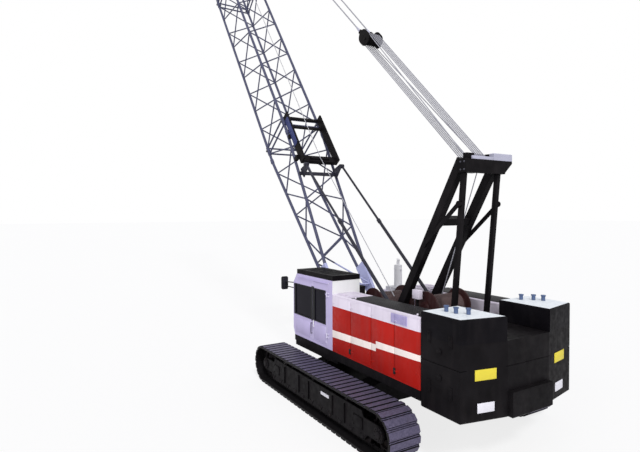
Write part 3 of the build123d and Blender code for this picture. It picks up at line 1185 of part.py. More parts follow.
save(spreader, "spreader")

PENDANT_START = SPREADER_AT + SOCKET_AT + SOCKET[0] / 2 + SEAT_GAP
PENDANT_EYE_Y = HEAD_PLATE[1] + 32

with BuildPart(RIG_PLANE) as pendants:
    add_tubes([((PENDANT_START, side * PENDANT_Y, 0), (RIG_RUN.length - 60, side * PENDANT_EYE_Y, 0))
               for side in LEFT_AND_RIGHT], PENDANT_RADIUS)
    for side in LEFT_AND_RIGHT:
        with Locations(Location((RIG_RUN.length, side * PENDANT_EYE_Y, 0), (90, 0, 0))):
            Cylinder(85, 46)
            Cylinder(45 + SEAT_GAP, 60, mode=Mode.SUBTRACT)
save(pendants, "pendants")

# hook block
HOOK_DROP = 3800        # from the head sheaves to the block's sheaves
HOOK_ROPE_OUT = HOIST_GROOVE_RADIUS + ROPE_RADIUS + 5.5
BLOCK_GROOVE = HOOK_ROPE_OUT - ROPE_RADIUS - SEAT_GAP
BLOCK_FLANGE = BLOCK_GROOVE + 28
BLOCK_PLATE = (125, 150)
BLOCK_WEIGHT = (150.5, 215)
SWIVEL_DROP = 560       # crosshead below the block's sheaves
SHANK_RADIUS = 42
HOOK_RADIUS = (105, 190)
HOOK_THICK = 100

head_at = BOOM_PLANE.origin + boom_x * HEAD_SHEAVE_S + boom_z * HEAD_SHEAVE_N
BLOCK_X, BLOCK_Z = head_at.X, head_at.Z - HOOK_DROP

with BuildPart() as hoist_ropes:
    add_tubes([((BLOCK_X + out, side * 75, BLOCK_Z), (BLOCK_X + out, side * 75, head_at.Z))
               for side in LEFT_AND_RIGHT for out in (-HOOK_ROPE_OUT, HOOK_ROPE_OUT)], ROPE_RADIUS)
save(hoist_ropes, "hoist_ropes")

with BuildPart() as hook_block:
    add_sheaves([(BLOCK_X, side * 75, BLOCK_Z) for side in LEFT_AND_RIGHT],
                BLOCK_FLANGE, BLOCK_GROOVE, 70)
    with Locations(Location((BLOCK_X, 0, BLOCK_Z), (90, 0, 0))):
        Cylinder(50, 2 * BLOCK_WEIGHT[1] + 40)
    for low, high, trim in ((*BLOCK_PLATE, 0), (*BLOCK_WEIGHT, 60)):
        for y_high in (high, -low):
            with BuildSketch(across(y_high)):
                Polygon(
                    (BLOCK_X - 300, BLOCK_Z + 180 - trim), (BLOCK_X + 300, BLOCK_Z + 180 - trim),
                    (BLOCK_X + 360, BLOCK_Z - 80), (BLOCK_X + 150, BLOCK_Z - SWIVEL_DROP - 90 + trim),
                    (BLOCK_X - 150, BLOCK_Z - SWIVEL_DROP - 90 + trim), (BLOCK_X - 360, BLOCK_Z - 80),
                    align=None)
            extrude(amount=high - low)
    with Locations((BLOCK_X, 0, BLOCK_Z - SWIVEL_DROP)):
        Box(190, 2 * BLOCK_PLATE[0] + 20, 120)
        Cylinder(SHANK_RADIUS + PIN_PLAY, 400, mode=Mode.SUBTRACT)
save(hook_block, "hook_block")

HOOK_Z = BLOCK_Z - SWIVEL_DROP - 60 - 330

with BuildPart() as hook:
    with BuildSketch(across(HOOK_THICK / 2)):
        with Locations((BLOCK_X, HOOK_Z)):
            Circle(HOOK_RADIUS[1])
            Circle(HOOK_RADIUS[0], mode=Mode.SUBTRACT)
            Rectangle(2 * HOOK_RADIUS[1], HOOK_RADIUS[1] + 10, rotation=0,
                      align=(Align.MIN, Align.MIN), mode=Mode.SUBTRACT)
            Polygon((-70, HOOK_RADIUS[0] - 10), (70, HOOK_RADIUS[0] + 40), (70, 300), (-70, 300),
                    align=None)
            with Locations((150, 20)):
                Circle(42)
    extrude(amount=HOOK_THICK)
    top = BLOCK_Z - SWIVEL_DROP + 60 + 0.5
    with Locations((BLOCK_X, 0, HOOK_Z + 260)):
        Cylinder(SHANK_RADIUS, top - HOOK_Z - 260, align=FLAT)
    with Locations((BLOCK_X, 0, top)):
        Cylinder(75, 70, align=FLAT)
save(hook, "hook")
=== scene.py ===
"""Crawler crane: finishes, small pieces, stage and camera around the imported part. Metres."""

from itertools import product
from math import atan2, cos, exp, pi, radians, sin

import bmesh
import bpy
from mathutils import Matrix, Vector


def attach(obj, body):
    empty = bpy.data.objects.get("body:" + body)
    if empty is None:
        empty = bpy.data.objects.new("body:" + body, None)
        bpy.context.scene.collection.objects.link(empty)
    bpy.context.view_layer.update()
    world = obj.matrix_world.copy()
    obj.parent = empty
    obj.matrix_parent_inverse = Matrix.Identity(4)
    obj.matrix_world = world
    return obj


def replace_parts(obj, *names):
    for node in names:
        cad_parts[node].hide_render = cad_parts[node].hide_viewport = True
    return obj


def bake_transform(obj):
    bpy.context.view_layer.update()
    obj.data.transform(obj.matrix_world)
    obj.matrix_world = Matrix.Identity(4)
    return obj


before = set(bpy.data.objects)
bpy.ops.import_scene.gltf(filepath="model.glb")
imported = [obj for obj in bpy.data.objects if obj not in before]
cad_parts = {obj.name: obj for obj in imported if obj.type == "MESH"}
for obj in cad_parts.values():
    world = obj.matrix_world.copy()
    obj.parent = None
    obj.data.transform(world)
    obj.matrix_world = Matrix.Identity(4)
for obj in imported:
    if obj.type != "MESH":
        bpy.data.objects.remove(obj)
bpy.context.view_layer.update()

SIDES = (1, -1)
NAMED_SIDES = ((1, "left"), (-1, "right"))
X, Y, Z = Vector((1, 0, 0)), Vector((0, 1, 0)), Vector((0, 0, 1))

# sizes shared with the part
TRACK_RADIUS = 0.5175
AXLE_X = 2.6625
TRACK_Y = 2.11
FRAME_FACE = 0.25                 # outer face of a track frame from the track's middle
SHOE_WIDTH = 0.76
SHOE_COUNT = 68
SHOE_THICKNESS = 0.04
PAD_HEIGHT = 0.026
PAD_LENGTH = 0.138
LINK_DEPTH = 0.066
HOUSE_REAR, HOUSE_FRONT = -3.06, 0.17
HOUSE_IN = 0.9
HALF_WIDTH = 1.646
BED_TOP = 1.379
HOUSE_TOP = 2.829
DOOR_JOINTS = (-2.27, -1.46, -0.65)
BLOCK_TOP = 2.961                 # of the raised counterweight blocks
BLOCK_SIDE = 1.639
CAB_REAR, CAB_FRONT = 0.173, 2.29
CAB_IN = 0.8
CAB_MIDDLE = 1.223
CAB_DOOR_FRONT = 1.159
WINDOW_LOW, WINDOW_HIGH = 1.98, 2.87
GANTRY_PIN = (-0.806, 2.0)        # pins are given as x and z
GANTRY_REAR_PIN = (-2.799, 2.195)
BACKSTOP_PIN = (-1.15, 2.47)
HEAD_SHAFT = Vector((-2.96, 0, 5.975))
BOOM_FOOT = Vector((1.26, 0, 1.942))
BOOM_ANGLE = radians(53.7)
BOOM_HALF_WIDTH = 0.7
BOOM_HALF_DEPTH = 0.74
BOOM_JOINTS = (7.0, 16.0, 28.0)
BOOM_LENGTH = 37.0
FOOT_PLATE_END = 1.65
SLEEVE_RADIUS = 0.064
HOIST_SHAFT = (BOOM_LENGTH, -0.62)   # along the boom and out from its centre line
GUIDE_SHAFT = (BOOM_LENGTH - 0.65, 0.26)
BACKSTOP_EYE = (4.8, 1.05)
WINCHES = (                       # x, z, flange radius, radius of the grooves
    (-0.05, 2.5, 0.42, 0.266), (-2.02, 2.72, 0.38, 0.256), (-1.45, 1.95, 0.33, 0.216),
)
SUSPENSION_RUN = Vector((0.7046, 0, 0.7097))
FALLS_LENGTH = 5.2
FALL_PITCH = 0.07
FALL_OUT = 0.155                  # of the two rope layers from the middle
ROPE_RADIUS = 0.013

BOOM_X = Vector((cos(BOOM_ANGLE), 0, sin(BOOM_ANGLE)))
BOOM_N = Vector((-sin(BOOM_ANGLE), 0, cos(BOOM_ANGLE)))


def on_boom(along, side, out):
    """Point given along the boom, to the left, and out from its centre line towards the back."""
    return BOOM_FOOT + BOOM_X * along + Vector((0, side, 0)) + BOOM_N * out


def axes(x_axis, y_axis, z_axis):
    """Turn that lays a piece's own axes along three directions."""
    return Matrix((x_axis, y_axis, z_axis)).transposed().to_4x4()


def new_object(name, data):
    made = bpy.data.objects.new(name, data)
    bpy.context.scene.collection.objects.link(made)
    return made


# finishes

WHITE = (0.72, 0.66, 0.76)
# painted light: colour of the cab's lit rear wall
LIT_REAR_WHITE = (0.86, 0.86, 0.85)
STRIPE_WHITE = (0.94, 0.84, 0.79)
# painted shade: the cab's colour carries the bluish cast of its shaded sides
SHADED_CAB_LAVENDER = (0.52, 0.46, 0.70)
RED = (0.44, 0.010, 0.005)
BLACK = (0.0045, 0.0038, 0.0045)
BOOM_BLUE = (0.072, 0.076, 0.13)
# painted light: sky-lit colour of the boom's foot plates
SKY_LIT_FOOT_BLUE = (0.44, 0.46, 0.70)
PALE_STEEL = (0.46, 0.46, 0.56)


class Nodes:
    """Short calls for building one node tree."""

    def __init__(self, tree):
        self.tree = tree

    def node(self, kind, **settings):
        made = self.tree.nodes.new(kind)
        for name, value in settings.items():
            setattr(made, name, value)
        return made

    def put(self, target, value):
        """Links an input to another node's output, or sets it."""
        if isinstance(value, bpy.types.NodeSocket):
            self.tree.links.new(value, target)
        else:
            target.default_value = value

    def feed(self, made, **sockets):
        """Fills inputs of a node by name; underscores stand for spaces."""
        for name, value in sockets.items():
            self.put(made.inputs[name.replace("_", " ")], value)
        return made

    def math(self, operation, first, second=0.0, clamp=False):
        made = self.node("ShaderNodeMath", operation=operation, use_clamp=clamp)
        self.put(made.inputs[0], first)
        self.put(made.inputs[1], second)
        return made.outputs[0]

    def show(self, lit, seen, target, share=1.0):
        """Lights things with one shader; the camera, metal and glass see another."""
        rays = self.node("ShaderNodeLightPath").outputs
        direct = self.math("MAXIMUM", rays["Is Camera Ray"], rays["Is Glossy Ray"])
        direct = self.math("MAXIMUM", direct, rays["Is Transmission Ray"])
        blend = self.node("ShaderNodeMixShader")
        self.put(blend.inputs[0], self.math("MULTIPLY", direct, share))
        self.put(blend.inputs[1], lit.outputs[0])
        self.put(blend.inputs[2], seen.outputs[0])
        self.feed(target, Surface=blend.outputs[0])


class Finish(Nodes):
    """A material with one Principled shader."""

    def __init__(self, name, roughness=0.5, metallic=0.0, gloss=0.5, **sockets):
        self.name = name
        self.material = bpy.data.materials.new(f"{name}_finish")
        self.material.use_nodes = True
        super().__init__(self.material.node_tree)
        self.shader = self.tree.nodes["Principled BSDF"]
        self.feed(self.shader, Roughness=roughness, Metallic=metallic, Specular_IOR_Level=gloss,
                  **sockets)
        coordinates = self.node("ShaderNodeTexCoord").outputs
        self.place, self.normal = coordinates["Object"], coordinates["Normal"]

    def noise(self, scale, detail=3.0, stretch=(1, 1, 1)):
        mapping = self.feed(self.node("ShaderNodeMapping"), Vector=self.place, Scale=stretch)
        made = self.feed(self.node("ShaderNodeTexNoise"), Vector=mapping.outputs["Vector"],
                         Scale=scale, Detail=detail)
        return made.outputs["Fac"]

    def spread(self, source, low, high, out_low=0.0, out_high=1.0):
        """Maps a range of values to another, clamped."""
        made = self.feed(self.node("ShaderNodeMapRange"), Value=source, From_Min=low,
                         From_Max=high, To_Min=out_low, To_Max=out_high)
        return made.outputs["Result"]

    def cloud(self, scale, detail, low, high, out_low=0.0, out_high=1.0, stretch=(1, 1, 1)):
        """Noise whose range from low to high is spread over another."""
        return self.spread(self.noise(scale, detail, stretch), low, high, out_low, out_high)

    def mix(self, share, first, second):
        made = self.node("ShaderNodeMix", data_type="RGBA")
        self.put(made.inputs[0], share)
        for index, value in ((6, first), (7, second)):
            self.put(made.inputs[index], (*value, 1) if isinstance(value, tuple) else value)
        return made.outputs[2]

    def dot(self, source, direction):
        made = self.node("ShaderNodeVectorMath", operation="DOT_PRODUCT")
        self.put(made.inputs[0], source)
        self.put(made.inputs[1], direction)
        return made.outputs["Value"]

    def along(self, direction):
        """Distance of a point along a direction through the origin."""
        return self.dot(self.place, direction)

    def facing(self, direction):
        """How far the surface faces a direction, from -1 to 1, as the piece stands at rest."""
        return self.dot(self.normal, direction)

    def colour(self, *mixed):
        """Takes what mix takes, or one ready colour."""
        source = self.mix(*mixed) if len(mixed) == 3 else mixed[0]
        self.feed(self.shader, Base_Color=source)

    def rough(self, source):
        self.feed(self.shader, Roughness=source)

    def bump(self, height, strength, distance, edge=0.0):
        """Bump of the surface; edge is the radius of the soft light on sharp edges."""
        made = self.feed(self.node("ShaderNodeBump"), Height=height, Strength=strength,
                         Distance=distance)
        if edge:
            round_off = self.feed(self.node("ShaderNodeBevel", samples=4), Radius=edge)
            self.feed(made, Normal=round_off.outputs["Normal"])
        self.feed(self.shader, Normal=made.outputs["Normal"])


def toned(colour, share, lift=0.0):
    return tuple(share * part + lift for part in colour)


def painted(name, base, roughness=0.4, dirt=0.2, gloss=0.12, grime=(0.10, 0.09, 0.09), change=None):
    """Sprayed enamel: faint cloudiness, rain streaks, a film of dust and orange peel.

    change is a call that gets the finish and its colour and returns the colour with its fields.
    """
    made = Finish(name, roughness, gloss=gloss)
    shade = made.mix(made.cloud(1.3, 4, 0.35, 0.7), base, toned(base, 0.88))
    if change:
        shade = change(made, shade)
    film = made.math("MULTIPLY", made.cloud(7, 5, 0.5, 0.78, stretch=(1, 1, 0.09)), dirt)
    made.colour(film, shade, grime)
    made.rough(made.cloud(11, 4, 0.3, 0.75, roughness - 0.06, roughness + 0.2))
    made.bump(made.noise(160, 2), 0.12, 0.0008, 0.006)
    return made


def black_enamel(name, base=BLACK, change=None):
    """Black paint with dull patches and a breath of dust."""
    made = Finish(name, gloss=0.05)
    shade = made.mix(made.cloud(1.7, 5, 0.35, 0.7), base, toned(base, 1.7, 0.0015))
    dust = made.math("MULTIPLY", made.cloud(5, 6, 0.5, 0.8, stretch=(1, 1, 0.25)), 0.05)
    shade = made.mix(dust, shade, (0.12, 0.10, 0.10))
    made.colour(change(made, shade) if change else shade)
    made.rough(made.cloud(9, 4, 0.3, 0.75, 0.40, 0.68))
    made.bump(made.noise(120, 3), 0.15, 0.001, 0.008)
    return made


def track_steel(name):
    """Shoes: a lavender polish on the faces that meet the ground, black oxide on the others."""
    made = Finish(name, metallic=0.35, gloss=0.1)
    grain = made.noise(24, 6)
    steel = made.mix(made.spread(grain, 0.35, 0.7), (0.085, 0.075, 0.125), (0.14, 0.125, 0.195))
    steel = made.mix(made.cloud(6, 6, 0.58, 0.8, 0, 0.35), steel, (0.06, 0.045, 0.045))
    run = made.along(X)
    past_axle = made.math("SUBTRACT", run, made.spread(run, -AXLE_X, AXLE_X, -AXLE_X, AXLE_X))
    above_axle = made.math("SUBTRACT", made.along(Z), TRACK_RADIUS)
    outwards = made.math("ADD", made.math("MULTIPLY", past_axle, made.facing(X)),
                         made.math("MULTIPLY", above_axle, made.facing(Z)))
    made.colour(made.math("GREATER_THAN", outwards, 0.25), (0.010, 0.009, 0.010), steel)
    made.rough(made.spread(grain, 0.3, 0.75, 0.4, 0.65))
    made.bump(made.noise(70, 5), 0.3, 0.0015, 0.006)
    return made


def cast_iron(name, base):
    made = Finish(name, metallic=0.1, gloss=0.06)
    grain = made.noise(30, 6)
    skin = made.mix(made.spread(grain, 0.3, 0.7), base, toned(base, 2.2))
    made.colour(made.cloud(4, 6, 0.5, 0.78, 0, 0.4), skin, (0.035, 0.026, 0.022))
    made.rough(made.spread(grain, 0.3, 0.8, 0.5, 0.8))
    made.bump(made.noise(90, 5), 0.35, 0.002, 0.006)
    return made


def bare_steel(name, base, roughness):
    made = Finish(name, metallic=0.85)
    brushed = made.noise(40, 4, (1, 1, 8))
    made.colour(made.spread(brushed, 0.3, 0.75), base, toned(base, 0.7))
    made.rough(made.cloud(8, 4, 0.3, 0.75, roughness - 0.05, roughness + 0.2))
    made.bump(brushed, 0.08, 0.0006, 0.003)
    return made


def wire_rope(name, run, base, pitch=0.09):
    """Galvanised rope: strands wind round it, read from the place along its run."""
    made = Finish(name, 0.45, 0.5)
    around = made.math("MULTIPLY", made.along(Y), 60)
    phase = made.math("ADD", made.math("MULTIPLY", made.along(run), 2 * pi / pitch * 3), around)
    strand = made.spread(made.math("SINE", phase), -1, 1)
    made.colour(strand, toned(base, 0.55), base)
    made.bump(strand, 0.6, 0.003)
    return made


def glass(name):
    """Dark tinted pane with dried rain on it."""
    made = Finish(name, IOR=1.3, Transmission_Weight=0.08, gloss=0.08)
    made.colour(made.cloud(0.9, 2, 0.3, 0.7), (0.006, 0.005, 0.010), (0.012, 0.011, 0.019))
    made.rough(made.cloud(3, 5, 0.5, 0.8, 0.04, 0.16, (1, 1, 0.3)))
    return made


def plastic(name, base):
    made = Finish(name, gloss=0.2)
    made.colour(made.cloud(5, 4, 0.3, 0.7), base, toned(base, 1.5, 0.002))
    made.rough(made.cloud(20, 3, 0.3, 0.75, 0.52, 0.72))
    made.bump(made.noise(420, 2), 0.25, 0.0006, 0.003)
    return made


def cloth(name, base):
    """Woven seat cover: warp over weft, with worn threads."""
    made = Finish(name, 0.92, Sheen_Weight=0.3, gloss=0.1)
    warp, weft = (
        made.feed(made.node("ShaderNodeTexWave", bands_direction=axis), Vector=made.place,
                  Scale=90, Distortion=0.5).outputs["Fac"]
        for axis in ("X", "Y"))
    weave = made.math("MULTIPLY", warp, weft)
    worn = made.mix(made.cloud(9, 4, 0.45, 0.75), base, toned(base, 1.7, 0.004))
    made.colour(weave, worn, toned(base, 2.2, 0.008))
    made.bump(weave, 0.5, 0.0015)
    return made


def tread_plate(name):
    """Walkway plate: crossed raised bars in worn black paint."""
    made = Finish(name, 0.6, gloss=0.12)
    bars = [
        made.spread(made.math("SINE", made.math("MULTIPLY", made.along(run), 2 * pi / 0.05)),
                    0.86, 0.96)
        for run in ((0.7071, 0.7071, 0), (0.7071, -0.7071, 0))]
    raised = made.math("MAXIMUM", *bars)
    made.colour(made.math("MULTIPLY", raised, made.noise(3, 4)), (0.006, 0.0055, 0.0065),
                (0.05, 0.045, 0.05))
    made.bump(raised, 0.7, 0.003)
    return made


RED_TOP = 2.53
STRIPE_STEP = -1.64
STRIPE_FRONT = (1.745, 1.925, -0.042, -0.025)   # lower and upper height at x = 0, their slopes
STRIPE_REAR = (1.825, 2.005, -0.040, -0.022)


def door_fields(made, white):
    """Side doors: a red field under the pale band, with a stepped pale stripe across it.

    The houses' inner walls stay pale.
    """
    x, z = made.along(X), made.along(Z)

    def above(level, slope=0.0):
        line = made.math("ADD", made.math("MULTIPLY", x, slope), level)
        return made.math("GREATER_THAN", z, line)

    def between(low, high, slope_low, slope_high):
        return made.math("SUBTRACT", above(low, slope_low), above(high, slope_high), clamp=True)

    front = made.math("GREATER_THAN", x, STRIPE_STEP)
    behind = made.math("SUBTRACT", 1.0, front)
    stripe = made.math("ADD", made.math("MULTIPLY", between(*STRIPE_FRONT), front),
                       made.math("MULTIPLY", between(*STRIPE_REAR), behind), clamp=True)
    pale = made.math("MAXIMUM", stripe, above(RED_TOP))
    red = made.mix(made.cloud(0.8, 3, 0.35, 0.7), RED, toned(RED, 0.7))
    inside = made.math("LESS_THAN", made.math("ABSOLUTE", made.along(Y)), HOUSE_IN + 0.02)
    outer = made.mix(pale, red, made.mix(stripe, white, STRIPE_WHITE))
    return made.mix(inside, outer, white)


def painted_lit_rear(made, shade):
    """Painted light: the cab's rear wall, which faces the key light, is painted a lighter, warmer
    colour than the shaded sides.
    """
    return made.mix(made.math("GREATER_THAN", made.facing(-X), 0.8), shade, LIT_REAR_WHITE)


def painted_light_top(made, shade):
    """Counterweight blocks: upper faces painted pale as painted light from above, light blue bollards
    on them.
    """
    z = made.along(Z)
    lid = made.math("MULTIPLY", made.math("GREATER_THAN", z, BLOCK_TOP - 0.006),
                    made.math("GREATER_THAN", made.facing(Z), 0.8))
    # painted light: mottled pale colour of the upward faces
    mottled_lit_top = made.mix(made.cloud(14, 5, 0.45, 0.75), (0.84, 0.88, 0.90), (0.70, 0.75, 0.79))
    shade = made.mix(lid, shade, mottled_lit_top)
    return made.mix(made.math("GREATER_THAN", z, BLOCK_TOP + 0.003), shade, (0.10, 0.14, 0.25))


def sky_lit_foot(made, shade):
    """Painted light: the plates at the boom's foot are painted lighter than its tubes, for the sky
    light they catch.
    """
    run = made.math("SUBTRACT", made.along(BOOM_X), BOOM_FOOT.dot(BOOM_X))
    return made.mix(made.math("LESS_THAN", run, FOOT_PLATE_END - 0.002), shade, SKY_LIT_FOOT_BLUE)


FINISHES = {made.name: made.material for made in (
    track_steel("track_steel"),
    black_enamel("black_paint"),
    # the blocks' upper faces are painted pale as painted light
    black_enamel("counterweight_paint", (0.0035, 0.0030, 0.0042), painted_light_top),
    cast_iron("underframe_iron", (0.007, 0.006, 0.007)),
    bare_steel("ring_steel", (0.30, 0.30, 0.31), 0.45),
    painted("white_paint", WHITE, dirt=0.12, change=door_fields),
    painted("pale_paint", WHITE, dirt=0.12),
    # the cab's rear wall is painted lighter as painted light
    painted("cab_paint", SHADED_CAB_LAVENDER, dirt=0.05, change=painted_lit_rear),
    # painted shade: darker lavender for the shade inside the louvre
    painted("louvre_shade_paint", (0.40, 0.36, 0.62), dirt=0.05),
    painted("silencer_metal", (0.72, 0.72, 0.74), 0.5, 0.12),
    painted("engine_paint", (0.06, 0.065, 0.065), 0.55, 0.4),
    painted("winch_paint", (0.035, 0.010, 0.010), 0.5, 0.25, 0.2),
    # the boom's foot plates are painted lighter as painted light
    painted("boom_paint", BOOM_BLUE, 0.42, 0.08, grime=(0.20, 0.19, 0.22), change=sky_lit_foot),
    painted("panel_paint", (0.035, 0.045, 0.14), 0.42, 0.08),
    painted("backstop_paint", (0.022, 0.022, 0.034), 0.42, 0.08, 0.2),
    painted("rod_paint", (0.030, 0.030, 0.042), 0.35, 0.05),
    painted("guard_paint", PALE_STEEL, 0.45, 0.12),
    painted("sheave_steel", (0.30, 0.30, 0.40), 0.45, 0.15),
    painted("hook_paint", (0.66, 0.40, 0.01), 0.42, 0.25),
    painted("yellow_plate", (0.74, 0.62, 0.06), 0.4, 0.05),
    painted("white_plate", (0.76, 0.75, 0.80), 0.4, 0.05),
    cast_iron("hook_steel", (0.04, 0.04, 0.042)),
    cast_iron("bolt_steel", (0.05, 0.05, 0.06)),
    glass("glass"),
    plastic("black_plastic", (0.006, 0.006, 0.007)),
    plastic("grey_plastic", (0.045, 0.045, 0.05)),
    cloth("seat_cloth", (0.016, 0.016, 0.020)),
    tread_plate("tread_plate"),
    wire_rope("suspension_rope", SUSPENSION_RUN, (0.40, 0.40, 0.45)),
    wire_rope("hoist_rope", Z, (0.34, 0.34, 0.38)),
    wire_rope("wound_rope", Z, (0.09, 0.055, 0.055), 0.03),
    wire_rope("boom_rope", BOOM_X, (0.44, 0.44, 0.48)),
    painted("lamp_lens", (0.70, 0.68, 0.60), 0.2, 0.05, 0.5),
    painted("mirror_silver", (0.02, 0.02, 0.024), 0.12, 0.02, 0.3),
)}

NODE_FINISHES = {
    "black_paint": "revolving_frame track_frame_left track_frame_right carbody counterweight_tray "
                   "counterweight_slabs spreader cab_roof_guard boom_guide_frame gantry_front "
                   "gantry_rear",
    "counterweight_paint": "counterweight_blocks",
    "underframe_iron": "idler_left idler_right sprocket_left sprocket_right rollers_left "
                       "rollers_right",
    "track_steel": "track_left track_right",
    "ring_steel": "slewing_ring",
    "white_paint": "house_left house_right",
    "cab_paint": "cab_shell cab_door",
    "silencer_metal": "exhaust_silencer",
    "engine_paint": "engine",
    "winch_paint": "hoist_winches luffing_winch",
    "boom_paint": "boom_base boom_lower_insert boom_upper_insert boom_top",
    "backstop_paint": "backstop_tubes backstop_brackets",
    "rod_paint": "backstop_rods",
    "guard_paint": "gantry_rope_guard",
    "sheave_steel": "gantry_sheaves boom_sheaves",
    "hook_paint": "hook_block",
    "hook_steel": "hook",
    "glass": "cab_glass cab_door_glass",
    "seat_cloth": "cab_seat",
    "grey_plastic": "cab_console",
    "black_plastic": "cab_mirror",
    "suspension_rope": "luffing_ropes_lower luffing_ropes_upper pendants",
    "hoist_rope": "hoist_ropes",
}
for finish, names in NODE_FINISHES.items():
    for name in names.split():
        for slot in bpy.data.objects[name].material_slots:
            slot.material = FINISHES[finish]


class Piece:
    """Gathers simple solids in one mesh, then gives it a finish and a body to ride on."""

    def __init__(self):
        self.mesh = bmesh.new()

    def box(self, centre, size, turn=Matrix()):
        place = Matrix.Translation(centre) @ turn @ Matrix.Diagonal((*size, 1))
        bmesh.ops.create_cube(self.mesh, size=1, matrix=place)

    def tube(self, start, end, radius, sides=12, end_radius=None):
        start, end = Vector(start), Vector(end)
        run = end - start
        place = (Matrix.Translation((start + end) / 2)
                 @ run.to_track_quat("Z", "Y").to_matrix().to_4x4())
        bmesh.ops.create_cone(self.mesh, cap_ends=True, segments=sides, radius1=radius,
                              radius2=radius if end_radius is None else end_radius,
                              depth=run.length, matrix=place)

    def stub(self, centre, direction, low, high, radius, sides=12, end_radius=None):
        """Tube between two distances from a centre."""
        centre = Vector(centre)
        self.tube(centre + direction * low, centre + direction * high, radius, sides, end_radius)

    def bolt(self, foot, direction, radius, height):
        """Hexagon head on a washer."""
        self.stub(foot, direction, 0, 0.25 * height, 1.35 * radius)
        self.stub(foot, direction, 0.25 * height, height, radius, 6)

    def bolts(self, feet, direction, radius, height):
        for foot in feet:
            self.bolt(foot, direction, radius, height)

    def bolt_ring(self, centre, direction, ring_radius, count, radius, height):
        centre = Vector(centre)
        first = direction.orthogonal().normalized() * ring_radius
        for index in range(count):
            turn = Matrix.Rotation(2 * pi * index / count, 3, direction)
            self.bolt(centre + turn @ first, direction, radius, height)

    def pin(self, centre, direction, radius, stand):
        """End of a joint pin: a chamfered head with a keeper plate and its two bolts."""
        self.stub(centre, direction, 0, stand, radius, 24)
        self.stub(centre, direction, stand, stand + 0.008, radius, 24, 0.8 * radius)
        side = direction.cross(Z)
        keeper = Vector(centre) + direction * (stand * 0.6) + Z * radius
        self.box(keeper, (2.2 * radius, 0.5 * radius, 0.014), axes(side, Z, direction))
        self.bolts((keeper + direction * 0.007 + side * shift * radius for shift in (-0.8, 0.8)),
                   direction, 0.011, 0.016)

    def prism(self, outline, plane, depth):
        """Extrudes a closed outline; plane is (origin, x direction, y direction)."""
        origin, x_dir, y_dir = (Vector(part) for part in plane)
        lift = x_dir.cross(y_dir).normalized() * depth
        flat = [origin + x_dir * x + y_dir * y for x, y in outline]
        low = [self.mesh.verts.new(point) for point in flat]
        high = [self.mesh.verts.new(point + lift) for point in flat]
        self.mesh.faces.new(list(reversed(low)))
        self.mesh.faces.new(high)
        for index in range(len(flat)):
            after = (index + 1) % len(flat)
            self.mesh.faces.new((low[index], low[after], high[after], high[index]))

    def rectangle(self, plane, low, high, depth):
        (left, bottom), (right, top) = low, high
        self.prism(((left, bottom), (right, bottom), (right, top), (left, top)), plane, depth)

    def border(self, plane, low, high, width, depth):
        """Frame just inside a rectangle."""
        (left, bottom), (right, top) = low, high
        self.rectangle(plane, low, (right, bottom + width), depth)
        self.rectangle(plane, (left, top - width), high, depth)
        for start in (left, right - width):
            self.rectangle(plane, (start, bottom + width), (start + width, top - width), depth)

    def sweep(self, points, radius, sides=8):
        """Round bar along a row of points that runs square to Y, or nearly so."""
        points = [Vector(point) for point in points]
        turns = [2 * pi * step / sides for step in range(sides)]
        rings = []
        for index, point in enumerate(points):
            run = points[min(index + 1, len(points) - 1)] - points[max(index - 1, 0)]
            out = run.cross(Y).normalized()
            over = out.cross(run).normalized()
            rings.append([
                self.mesh.verts.new(point + radius * (out * cos(turn) + over * sin(turn)))
                for turn in turns])
        for near, far in zip(rings, rings[1:]):
            for step in range(sides):
                after = (step + 1) % sides
                self.mesh.faces.new((near[step], near[after], far[after], far[step]))
        self.mesh.faces.new(list(reversed(rings[0])))
        self.mesh.faces.new(rings[-1])

    def pipe(self, points, radius):
        """Bent pipe: runs between points, with a ball at each bend."""
        for start, end in zip(points, points[1:]):
            self.tube(start, end, radius, 10)
        for point in points[1:-1]:
            bmesh.ops.create_icosphere(self.mesh, subdivisions=2, radius=radius,
                                       matrix=Matrix.Translation(point))

    def make(self, name, finish, bevel=0.0, body="upper"):
        bmesh.ops.recalc_face_normals(self.mesh, faces=self.mesh.faces)
        if bevel:
            sharp = [edge for edge in self.mesh.edges
                     if len(edge.link_faces) == 2 and edge.calc_face_angle() > radians(40)]
            bmesh.ops.bevel(self.mesh, geom=sharp, offset=bevel, segments=2, affect="EDGES",
                            profile=0.5, clamp_overlap=True)
        data = bpy.data.meshes.new(name)
        self.mesh.to_mesh(data)
        self.mesh.free()
        for face in data.polygons:
            face.use_smooth = True
        data.set_sharp_from_angle(angle=radians(35))
        made = new_object(name, data)
        data.materials.append(FINISHES[finish])
        if body:
            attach(made, body)
        return made


# tracks

SHOE_PATH_RADIUS = TRACK_RADIUS - PAD_HEIGHT - SHOE_THICKNESS / 2
SHOE_PITCH = (4 * AXLE_X + 2 * pi * SHOE_PATH_RADIUS) / SHOE_COUNT


def shoe_frame(index):
    """Place of one shoe's outer face and its turn about Y, on the track's outline."""
    if index >= SHOE_COUNT // 2:  # the upper half mirrors the lower one
        x, z, turn = shoe_frame(index - SHOE_COUNT // 2)
        return (-x, 2 * TRACK_RADIUS - z, turn + pi)
    run = (index + 0.5) * SHOE_PITCH - 2 * AXLE_X
    if run < 0:
        return (run + AXLE_X, 0, 0.0)
    turn = run / SHOE_PATH_RADIUS
    reach = (TRACK_RADIUS ** 2 - (PAD_LENGTH / 2) ** 2) ** 0.5
    return (AXLE_X + reach * sin(turn), TRACK_RADIUS - reach * cos(turn), turn)


